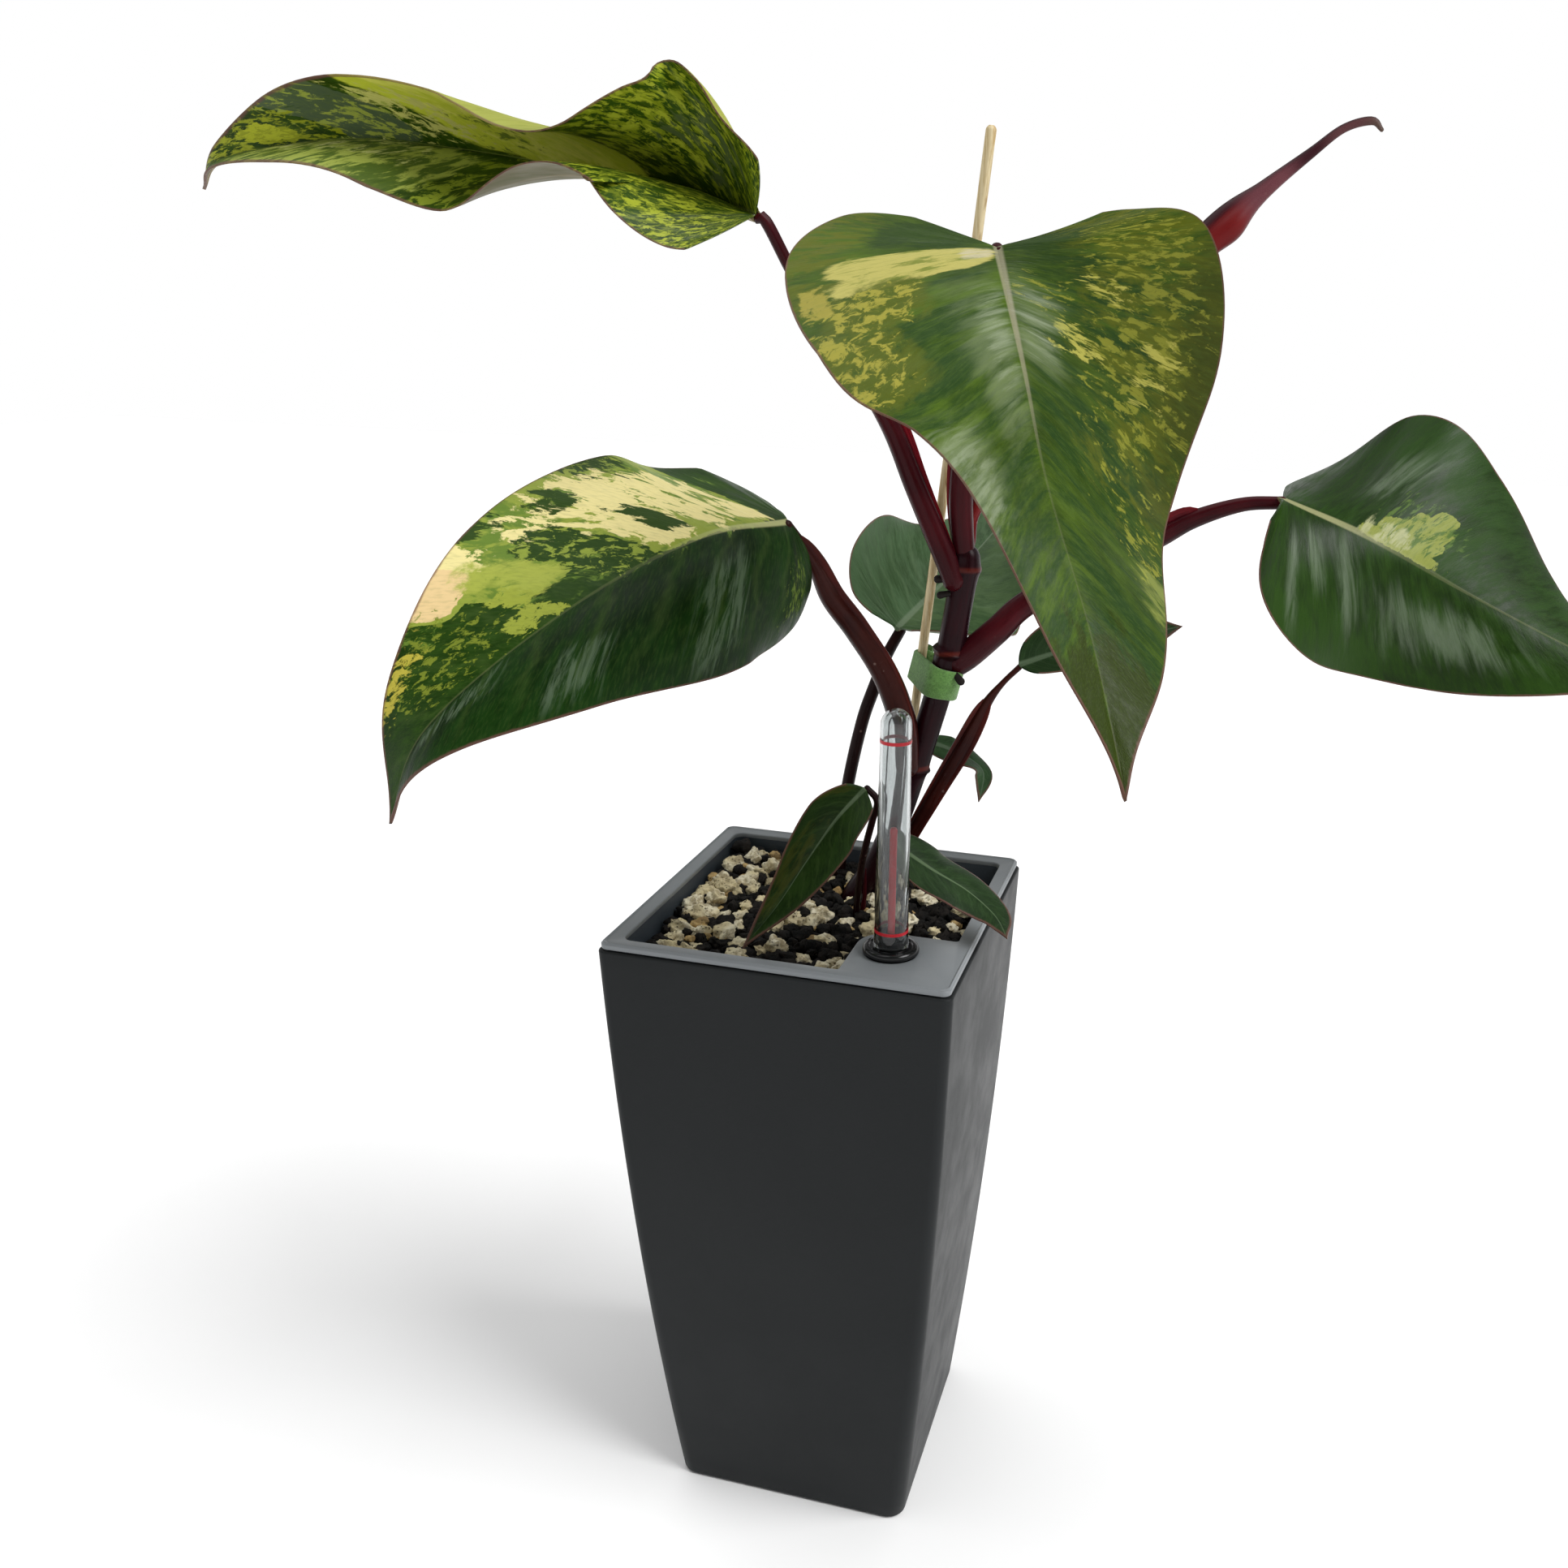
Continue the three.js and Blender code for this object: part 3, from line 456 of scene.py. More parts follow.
class NodeWriter:
    """Adds nodes to a node tree and wires them."""

    def __init__(self, tree: Tree) -> None:
        """Keeps the tree."""
        self.tree = tree

    def wire(self, value: Socket, socket: Socket) -> None:
        """Links a value to a socket."""
        self.tree.links.new(value, socket)

    def add(self, kind: str, feeds: Mapping[str | int, Feed] | None = None,
            **settings: object) -> bpy.types.Node:
        """Adds one node.

        Args:
            kind: The node's type.
            feeds: What goes into its inputs, by name or number.
            settings: The node's own options.

        Returns:
            The new node.
        """
        node = self.tree.nodes.new(kind)
        for key, value in settings.items():
            setattr(node, key, value)
        for key, value in (feeds or {}).items():
            if isinstance(value, Socket):
                self.wire(value, node.inputs[key])
            else:
                node.inputs[key].default_value = value
        return node

    def math(self, operation: str, a: Feed, b: Feed = 0.0) -> Socket:
        """One sum of two values."""
        return self.add("ShaderNodeMath", {0: a, 1: b}, operation=operation).outputs[0]

    def plus(self, a: Feed, b: Feed) -> Socket:
        """a and b together."""
        return self.math("ADD", a, b)

    def minus(self, a: Feed, b: Feed) -> Socket:
        """a less b."""
        return self.math("SUBTRACT", a, b)

    def times(self, a: Feed, b: Feed) -> Socket:
        """a times b."""
        return self.math("MULTIPLY", a, b)

    def mix(self, factor: Feed, a: Feed, b: Feed) -> Socket:
        """Colour a going over to colour b."""
        return self.add("ShaderNodeMix", {0: factor, 6: a, 7: b}, data_type="RGBA").outputs[2]

    def smooth(self, value: Feed, low: Feed, high: Feed, first: float = 0.0, last: float = 1.0) -> Socket:
        """Goes smoothly from first, where value is low, to last, where it is high."""
        feeds = {"Value": value, "From Min": low, "From Max": high, "To Min": first, "To Max": last}
        return self.add("ShaderNodeMapRange", feeds, interpolation_type="SMOOTHSTEP").outputs[0]

    def grid(self, x: Feed, y: Feed, x_scale: Feed, y_scale: Feed, seed: Feed = 0.0) -> Socket:
        """A place in a noise, from two coordinates and their scales."""
        feeds = {0: self.times(x, x_scale), 1: self.times(y, y_scale), 2: seed}
        return self.add("ShaderNodeCombineXYZ", feeds).outputs[0]

    def stretch(self, vector: Feed, scales: Point) -> Socket:
        """A vector with each part scaled."""
        return self.add("ShaderNodeVectorMath", {0: vector, 1: scales}, operation="MULTIPLY").outputs[0]

    def height(self, vector: Feed) -> Socket:
        """The upward part of a vector."""
        return self.add("ShaderNodeSeparateXYZ", {0: vector}).outputs[2]

    def noise(self, vector: Feed, scale: Feed, detail: float = 3.0, rough: float = 0.5,
              bend: float = 0.0) -> Socket:
        """Fractal noise from about 0 to 1."""
        feeds = {"Vector": vector, "Scale": scale, "Detail": detail, "Roughness": rough, "Distortion": bend}
        return self.add("ShaderNodeTexNoise", feeds).outputs[0]

    def cells(self, vector: Feed, scale: Feed) -> Socket:
        """The distance to the nearest of many scattered points."""
        return self.add("ShaderNodeTexVoronoi", {"Vector": vector, "Scale": scale}, feature="F1").outputs[0]

    def texture(self, layer: str) -> tuple[Socket, ...]:
        """The two texture coordinates of a mesh layer."""
        both = self.add("ShaderNodeUVMap", uv_map=layer).outputs[0]
        return tuple(self.add("ShaderNodeSeparateXYZ", {0: both}).outputs)[:2]

    def place(self) -> Socket:
        """The position on the object, in metres."""
        return self.add("ShaderNodeTexCoord").outputs["Object"]

    def group(self, tree: Tree, feeds: Mapping[str, Feed]) -> bpy.types.Node:
        """Places a node group with its values."""
        return self.add("ShaderNodeGroup", feeds, node_tree=tree)


def new_group(name: str, inputs: Mapping[str, float | tuple], *outputs: str) \
        -> tuple[NodeWriter, bpy.types.NodeInputs, bpy.types.NodeOutputs]:
    """Starts a node group.

    Args:
        name: The group's name.
        inputs: Its inputs with their usual values: a number, a vector of three or a colour of four.
        outputs: Its outputs. All are numbers, apart from one named Colour.

    Returns:
        A writer for it, the sockets to read from and the sockets to write to.
    """
    tree = bpy.data.node_groups.new(name, "ShaderNodeTree")
    for label, usual in inputs.items():
        kind = "NodeSocketFloat"
        if isinstance(usual, tuple):
            kind = "NodeSocketColor" if len(usual) == 4 else "NodeSocketVector"
        socket = tree.interface.new_socket(label, in_out="INPUT", socket_type=kind)
        socket.default_value = usual
    for label in outputs:
        kind = "NodeSocketColor" if label == "Colour" else "NodeSocketFloat"
        tree.interface.new_socket(label, in_out="OUTPUT", socket_type=kind)
    source = tree.nodes.new("NodeGroupInput")
    sink = tree.nodes.new("NodeGroupOutput")
    return NodeWriter(tree), source.outputs, sink.inputs


@cache
def patch_group() -> Tree:
    """A rounded rectangle on the blade, with soft borders.

    Returns:
        The group.
    """
    inputs = {"S": 0.0, "V": 0.0, "S Middle": 0.5, "S Reach": 0.1, "V Middle": 0.5, "V Reach": 0.5,
              "Soft": 0.3}
    w, take, give = new_group("Leaf patch", inputs, "Mask")
    parts = []
    for axis in ("S", "V"):
        off = w.math("ABSOLUTE", w.minus(take[axis], take[f"{axis} Middle"]))
        parts.append(w.math("POWER", w.math("DIVIDE", off, take[f"{axis} Reach"]), 4.0))
    far = w.math("POWER", w.plus(*parts), 0.25)
    w.wire(w.smooth(far, w.minus(1.0, take["Soft"]), w.plus(1.0, take["Soft"]), 1.0, 0.0), give["Mask"])
    return w.tree


@cache
def marbling_and_sheen_group() -> Tree:
    """Turns a soft mask into ragged marbling whose blotches run along the veins; the same makes the blades'
    painted sheen.

    Returns:
        The group.
    """
    inputs = {"Mask": 0.0, "S": 0.0, "V": 0.0, "Fine": 40.0, "Long": 6.0, "Seed": 0.0, "Cover": 0.5,
              "Crisp": 0.06, "Melt": 0.15}
    w, take, give = new_group("Marbling and painted sheen", inputs, "Factor")
    at = w.grid(take["S"], take["V"], take["Fine"], take["Long"], take["Seed"])
    cloud = w.noise(at, 1.0, 6.0, 0.66, 0.5)
    even = w.plus(w.times(w.minus(cloud, 0.5), 3.0), 0.5)
    threshold = w.minus(1.05, w.times(w.times(take["Cover"], take["Mask"]), 1.1))
    ragged = w.smooth(even, w.minus(threshold, take["Crisp"]), w.plus(threshold, take["Crisp"]))
    w.wire(w.times(ragged, w.smooth(take["Mask"], 0.0, take["Melt"])), give["Factor"])
    return w.tree


@cache
def vein_group() -> Tree:
    """The lateral veins: thin lines that fade before the margin.

    Returns:
        The group.
    """
    inputs = {"S": 0.0, "V": 0.0, "Count": 18.0, "Width": 0.1}
    w, take, give = new_group("Lateral veins", inputs, "Line")
    wobble = w.noise(w.grid(take["S"], take["V"], 7.0, 3.0), 1.0, 2.0)
    phase = w.plus(w.times(take["S"], take["Count"]), wobble)
    off = w.math("ABSOLUTE", w.minus(w.math("FRACT", phase), 0.5))
    fade = w.smooth(w.math("ABSOLUTE", take["V"]), 0.55, 1.0, 1.0, 0.0)
    w.wire(w.times(w.smooth(off, 0.0, take["Width"], 1.0, 0.0), fade), give["Line"])
    return w.tree


@cache
def grain_group() -> Tree:
    """A colour with slow drift and fine grain, and the grain itself.

    Returns:
        The group.
    """
    inputs = {"Position": (0.0, 0.0, 0.0), "Colour": (0.5, 0.5, 0.5, 1.0), "Drift": (0.4, 0.4, 0.4, 1.0),
              "Drift Scale": 30.0, "Drift Amount": 0.5, "Grain Scale": 2000.0, "Grain Amount": 0.1}
    w, take, give = new_group("Grain", inputs, "Colour", "Grain")
    drift = w.smooth(w.noise(take["Position"], take["Drift Scale"], 4.0, 0.6), 0.3, 0.7)
    shade = w.mix(w.times(drift, take["Drift Amount"]), take["Colour"], take["Drift"])
    fine = w.noise(take["Position"], take["Grain Scale"], 2.0, 0.6)
    gain = w.plus(w.times(w.times(w.minus(fine, 0.5), take["Grain Amount"]), 2.0), 1.0)
    bright = w.add("ShaderNodeVectorMath", {0: shade, "Scale": gain}, operation="SCALE").outputs[0]
    w.wire(bright, give["Colour"])
    w.wire(fine, give["Grain"])
    return w.tree


@cache
def band_group() -> Tree:
    """A soft band across one coordinate.

    Returns:
        The group.
    """
    inputs = {"Value": 0.0, "Middle": 0.0, "Reach": 1.0, "Soft": 0.5}
    w, take, give = new_group("Band", inputs, "Mask")
    off = w.math("ABSOLUTE", w.minus(take["Value"], take["Middle"]))
    w.wire(w.smooth(off, take["Reach"], w.plus(take["Reach"], take["Soft"]), 1.0, 0.0), give["Mask"])
    return w.tree


class Paint(NodeWriter):
    """A new material with one Principled shader, and the writer of its nodes."""

    def __init__(self, name: str, **plain: Feed) -> None:
        """Starts the material.

        Args:
            name: The material's name.
            plain: Values for the shader's own sockets, with _ for a space.
        """
        self.material = bpy.data.materials.new(name)
        self.material.use_nodes = True
        super().__init__(self.material.node_tree)
        self.tree.nodes.clear()
        feeds = {key.replace("_", " "): value for key, value in plain.items()}
        self.shader = self.add("ShaderNodeBsdfPrincipled", feeds)
        self.add("ShaderNodeOutputMaterial", {"Surface": self.shader.outputs[0]})

    def coat(self, tone: Socket, rough: Socket | None = None, relief: Socket | None = None,
             depth: float = 0.0, strength: float = 1.0) -> Material:
        """Feeds the shader.

        Args:
            tone: The colour.
            rough: The roughness, where it varies.
            relief: The height of its fine relief, where it has any.
            depth: The relief's depth in millimetres.
            strength: How strongly it shows.

        Returns:
            The material.
        """
        self.wire(tone, self.shader.inputs["Base Color"])
        if rough is not None:
            self.wire(rough, self.shader.inputs["Roughness"])
        if relief is not None:
            feeds = {"Height": relief, "Distance": depth * MM, "Strength": strength}
            self.wire(self.add("ShaderNodeBump", feeds).outputs[0], self.shader.inputs["Normal"])
        return self.material


# Finishes

@dataclass(frozen=True)
class PlasticFinish:
    """Moulded plastic with a fine grain and a slow drift of tone."""

    name: str
    tone: str
    drift: str
    roughness: float = 0.45
    drift_scale: float = 18.0
    grain: float = 0.08
    grain_depth: float = 0.02
    shine: float = 0.3
    grain_scale: float = 3500.0

    def make(self) -> Material:
        """Makes the material.

        Returns:
            The material.
        """
        w = Paint(self.name, Specular_IOR_Level=self.shine)
        feeds = {"Position": w.place(), "Colour": colour(self.tone), "Drift": colour(self.drift),
                 "Drift Scale": self.drift_scale, "Drift Amount": 0.7, "Grain Scale": self.grain_scale,
                 "Grain Amount": self.grain}
        grain = w.group(grain_group(), feeds)
        smears = w.noise(w.place(), 60.0, 5.0, 0.65)
        rough = w.smooth(smears, 0.3, 0.7, self.roughness - 0.05, self.roughness + 0.05)
        return w.coat(grain.outputs["Colour"], rough, grain.outputs["Grain"], self.grain_depth)


@dataclass(frozen=True)
class ClearFinish:
    """Clear moulded plastic with faint flow marks."""

    name: str
    tint: str
    flow: str
    index: float = 1.49

    def make(self) -> Material:
        """Makes the material.

        Returns:
            The material.
        """
        w = Paint(self.name, Transmission_Weight=1.0, IOR=self.index, Roughness=0.03, Metallic=0.0)
        flow = w.noise(w.stretch(w.place(), (900.0, 900.0, 60.0)), 1.0, 3.0)
        tint = w.mix(w.smooth(flow, 0.35, 0.75), colour(self.tint), colour(self.flow))
        return w.coat(tint, None, flow, 0.02, 0.5)


@dataclass(frozen=True)
class StoneFinish:
    """Porous mineral grains, each a little different in tone, with dented pores painted darker as painted
    shade.
    """

    name: str
    tones: tuple[str, str, str]
    shaded_pit: str
    pores: float = 900.0
    depth: float = 0.25

    def make(self) -> Material:
        """Makes the material.

        Returns:
            The material.
        """
        w = Paint(self.name, Roughness=0.9, Specular_IOR_Level=0.2)
        at = w.place()
        light, middle, dark = (colour(code) for code in self.tones)
        broad = w.smooth(w.noise(at, 110.0, 1.0), 0.4, 0.6)
        small = w.smooth(w.noise(at, 310.0, 4.0, 0.7), 0.42, 0.62)
        shade = w.mix(small, w.mix(broad, light, middle), dark)
        sparse = w.smooth(w.noise(at, 500.0, 2.0), 0.45, 0.6)
        # Painted shade: the pores are darkened as well as dented.
        shaded_pit = w.times(w.smooth(w.cells(at, self.pores), 0.15, 0.4, 1.0, 0.0), sparse)
        shade = w.mix(w.times(shaded_pit, 0.75), shade, colour(self.shaded_pit))
        relief = w.minus(w.times(w.noise(at, 1500.0, 4.0, 0.7), 0.6), shaded_pit)
        return w.coat(shade, None, relief, self.depth)


@dataclass(frozen=True)
class FeltFinish:
    """Matted fibres."""

    name: str
    tone: str
    shadow: str

    def make(self) -> Material:
        """Makes the material.

        Returns:
            The material.
        """
        w = Paint(self.name, Roughness=0.95, Sheen_Weight=0.3, Sheen_Roughness=0.5)
        at = w.place()
        tone, shadow = colour(self.tone), colour(self.shadow)
        fibres = w.noise(at, 1400.0, 5.0, 0.75, 1.2)
        clumps = w.smooth(w.noise(at, 350.0, 3.0), 0.4, 0.7, 0.0, 0.35)
        shade = w.mix(clumps, w.mix(w.smooth(fibres, 0.35, 0.62), shadow, tone), shadow)
        return w.coat(shade, None, fibres, 0.25)


@dataclass(frozen=True)
class BambooFinish:
    """Split bamboo with fibres along its length and darker flecks."""

    name: str
    tone: str
    fibre: str
    fleck: str

    def make(self) -> Material:
        """Makes the material.

        Returns:
            The material.
        """
        w = Paint(self.name, Roughness=0.55)
        at = w.place()
        lines = w.noise(w.stretch(at, (1500.0, 1500.0, 45.0)), 1.0, 4.0, 0.6)
        specks = w.noise(w.stretch(at, (700.0, 700.0, 120.0)), 1.0, 2.0)
        shade = w.mix(w.smooth(lines, 0.38, 0.66), colour(self.tone), colour(self.fibre))
        shade = w.mix(w.smooth(specks, 0.64, 0.72, 0.0, 0.6), shade, colour(self.fleck))
        return w.coat(shade, None, lines, 0.12)


@dataclass(frozen=True)
class StalkFinish:
    """Smooth plant skin with lengthwise streaks, small pale dots and coloured rings at given heights.

    Each stop is a distance along in decimetres, and the colour that the skin goes over to from there.
    """

    name: str
    shade: str
    middle: str
    glow: str
    stops: tuple[tuple[float, str], ...] = ()
    rings: tuple[float, ...] = ()
    ring: str = "5A2018"
    dot: str = "9A8078"
    roughness: float = 0.3
    flush: float = 0.3

    def make(self) -> Material:
        """Makes the material.

        Returns:
            The material.
        """
        w = Paint(self.name, Specular_IOR_Level=0.11)
        along, front = w.texture("run")
        at = w.place()
        streak = w.noise(w.grid(front, along, 11.0, 9.0), 1.0, 4.0, 0.6)
        broad = w.noise(at, 90.0, 2.0)
        tone = w.mix(w.smooth(broad, 0.35, 0.65), colour(self.shade), colour(self.middle))
        tone = w.mix(w.smooth(streak, 0.45, 0.75, 0.0, 0.5), tone, colour(self.glow))
        tone = w.mix(w.smooth(front, 0.6, 1.0, 0.0, self.flush), tone, colour(self.glow))
        for place, code in self.stops:
            tone = w.mix(w.smooth(along, place, place + 0.08), tone, colour(code))
        if self.stops:
            tone = w.mix(w.smooth(front, 0.4, 0.9, 0.75, 0.0), tone, colour(self.shade))
        for height in self.rings:
            wave = w.plus(w.times(w.height(at), 1 / MM), w.times(broad, 1.5))
            feeds = {"Value": wave, "Middle": height + 0.75, "Reach": 0.15, "Soft": 0.8}
            mask = w.group(band_group(), feeds).outputs[0]
            tone = w.mix(w.times(mask, 0.6), tone, colour(self.ring))
        dots = w.smooth(w.cells(at, 260.0), 0.06, 0.12, 1.0, 0.0)
        tone = w.mix(w.times(dots, w.smooth(broad, 0.5, 0.6, 0.0, 0.35)), tone, colour(self.dot))
        rough = w.smooth(streak, 0.3, 0.7, self.roughness - 0.06, self.roughness + 0.1)
        return w.coat(tone, rough, streak, 0.12, 0.6)


@dataclass(frozen=True)
class Patch:
    """A patch of a blade: from s0 to s1 along the margin, and from t0 to t1 of the way out, on one side."""

    side: Side
    s0: float
    s1: float
    t0: float
    t1: float

    def feeds(self, soft: float) -> dict[str, float]:
        """The patch as values for the group "Leaf patch". One that ends at the margin runs past it."""
        outer = 1.3 if self.t1 >= 1 else self.t1
        return {"S Middle": (self.s0 + self.s1) / 2, "S Reach": (self.s1 - self.s0) / 2,
                "V Middle": self.side.value * (self.t0 + outer) / 2, "V Reach": (outer - self.t0) / 2,
                "Soft": soft}


@dataclass(frozen=True)
class Marking:
    """One colour of a blade's marbling and painted sheen, and the patches that it lies in."""

    tint: str
    patches: tuple[Patch, ...]
    cover: float = 0.6
    fine: float = 38.0
    long: float = 7.0
    crisp: float = 0.05
    soft: float = 0.3
    opacity: float = 1.0
    melt: float = 0.15

    def factor(self, w: Paint, seed: float, s: Socket, v: Socket) -> Socket:
        """How far the marking covers the blade.

        Args:
            w: The material.
            seed: The marking's place in the noise.
            s: The coordinate along the margin.
            v: The coordinate across.

        Returns:
            The cover, from 0 to 1.
        """
        masks = [w.group(patch_group(), {"S": s, "V": v, **patch.feeds(self.soft)}).outputs[0]
                 for patch in self.patches]
        mask = masks[0]
        for other in masks[1:]:
            mask = w.math("MAXIMUM", mask, other)
        feeds = {"Mask": mask, "S": s, "V": v, "Fine": self.fine, "Long": self.long, "Seed": seed,
                 "Cover": self.cover, "Crisp": self.crisp, "Melt": self.melt}
        return w.times(w.group(marbling_and_sheen_group(), feeds).outputs[0], self.opacity)


@dataclass(frozen=True)
class LeafFinish:
    """The looks of a blade: two greens on each half, marbling with some painted sheen and highlights, veins,
    midrib, margin and lower side.

    The colours of the lower side are those of the right half and of the left half.
    """

    right: tuple[str, str]
    left: tuple[str, str]
    vein: str
    midrib: str
    marks: tuple[Marking, ...] = ()
    midrib_width: Pair = (1.3, 0.35)
    midrib_strength: float = 0.8
    midrib_fade: tuple[float, float, float] = (0.5, 1.0, 0.5)
    vein_strength: float = 0.25
    vein_count: float = 17.0
    margin: str = "684640"
    under: tuple[str, str] = ("5F7048", "6E7A55")
    under_rib: str = "7E5A48"
    roughness: float = 0.4
    seed: float = 0.0

    def halves(self, w: Paint) -> tuple[Socket, Socket, Socket]:
        """Reads where a point of the blade lies.

        Args:
            w: The material.

        Returns:
            The place along the margin, the place across from -1 to 1, and a mask of the right half.
        """
        s, share = w.texture("veins")
        v = w.times(w.minus(share, 0.5), 2.0)
        return s, v, w.smooth(v, -0.01, 0.01)

    def lines(self, w: Paint, s: Socket, v: Socket, width: float) -> Socket:
        """The lateral veins."""
        feeds = {"S": s, "V": v, "Count": self.vein_count, "Width": width}
        return w.group(vein_group(), feeds).outputs["Line"]

    def face(self, leaf: str) -> Material:
        """Makes the material of the upper side.

        Args:
            leaf: The leaf's name.

        Returns:
            The material.
        """
        w = Paint(f"blade face {leaf}", Specular_IOR_Level=0.12)
        s, v, on_right = self.halves(w)
        broad = w.noise(w.grid(s, v, 9.0, 1.6, self.seed), 1.0, 3.0)
        streak = w.noise(w.grid(s, v, 90.0, 3.5, self.seed + 3), 1.0, 3.0, 0.6, 0.3)
        fine = w.noise(w.grid(s, v, 420.0, 14.0, self.seed), 1.0, 2.0)
        even = w.smooth(w.plus(w.times(broad, 0.6), w.times(streak, 0.4)), 0.38, 0.62)
        left, right = (w.mix(even, colour(dim), colour(light)) for dim, light in (self.left, self.right))
        tone = w.mix(on_right, left, right)
        tone = w.mix(w.times(self.lines(w, s, v, 0.16), self.vein_strength), tone, colour(self.vein))
        for i, mark in enumerate(self.marks):
            tone = w.mix(mark.factor(w, self.seed + 1.7 * i, s, v), tone, colour(mark.tint))
        tone = w.mix(w.smooth(fine, 0.42, 0.72, 0.0, 0.16), tone, colour(self.vein))
        off_rib, along = w.texture("ribs")
        width = w.smooth(along, 0.0, 0.6, self.midrib_width[0] / 100, self.midrib_width[1] / 100)
        rib = w.smooth(off_rib, w.times(width, 0.45), width, 1.0, 0.0)
        start, end, last = self.midrib_fade
        strength = w.smooth(along, start, end, self.midrib_strength, self.midrib_strength * last)
        tone = w.mix(w.times(rib, strength), tone, colour(self.midrib))
        ragged = w.plus(w.texture("edges")[0], w.times(w.minus(streak, 0.5), 0.004))
        tone = w.mix(w.smooth(ragged, 0.0012, 0.0045, 0.75, 0.0), tone, colour(self.margin))
        rough = w.smooth(streak, 0.3, 0.7, self.roughness - 0.08, self.roughness + 0.1)
        return w.coat(tone, rough, w.plus(w.times(fine, 0.35), w.times(streak, 0.65)), 0.16, 0.7)

    def underside(self, leaf: str) -> Material:
        """Makes the material of the lower side.

        Args:
            leaf: The leaf's name.

        Returns:
            The material.
        """
        w = Paint(f"blade underside {leaf}", Specular_IOR_Level=0.2)
        s, v, on_right = self.halves(w)
        broad = w.noise(w.grid(s, v, 8.0, 1.4, self.seed), 1.0, 3.0)
        streak = w.noise(w.grid(s, v, 90.0, 4.0, self.seed), 1.0, 3.0)
        tone = w.mix(on_right, colour(self.under[1]), colour(self.under[0]))
        drift = w.plus(w.smooth(broad, 0.42, 0.6, 0.0, 0.24), w.smooth(streak, 0.45, 0.75, 0.0, 0.2))
        tone = w.mix(drift, tone, colour(self.left[1]))
        line = self.lines(w, s, v, 0.12)
        tone = w.mix(w.times(line, 0.35), tone, colour(self.under_rib))
        tone = w.mix(w.smooth(w.texture("ribs")[0], 0.006, 0.014, 0.85, 0.0), tone, colour(self.under_rib))
        tone = w.mix(w.smooth(w.texture("edges")[0], 0.0015, 0.005, 0.75, 0.0), tone, colour(self.margin))
        rough = w.smooth(streak, 0.3, 0.7, 0.45, 0.6)
        return w.coat(tone, rough, w.plus(w.times(line, 0.5), w.times(streak, 0.5)), 0.15, 0.7)


# Leaves

Values = tuple[float, ...]

# Half of a blade: distance along the midrib and out from it, as parts of the length and half width
HEART = ((0, 0), (-0.12, 0.25), (-0.13, 0.62), (0.04, 0.93), (0.28, 0.98), (0.52, 0.74), (0.75, 0.36),
         (0.9, 0.11), (1, 0))
LANCE = ((0, 0), (-0.02, 0.32), (0.06, 0.72), (0.24, 1), (0.45, 0.95), (0.66, 0.68), (0.83, 0.36),
         (0.94, 0.12), (1, 0))


@dataclass(frozen=True)
class Wing:
    """A free edge of a stalk's sheath: where it runs, how far it stands out and the way it looks."""

    start: float
    end: float
    height: float
    towards: Point
    tip: float = 0.0


@dataclass(frozen=True)
class LeafForm:
    """One leaf's shape: midrib, the way its face looks, roll, half widths, lobes, folds, curls and stalk.

    The first value of a pair is the right half.
    """

    rib: tuple[Point, ...]
    face: Point
    roll: Values
    half: Pair
    lobes: Pair
    fold: tuple[Values, Values]
    curl: tuple[Values, Values]
    stalk: tuple[Point, ...]
    stalk_radii: Values
    young: bool = False
    wings: tuple[Wing, ...] = ()


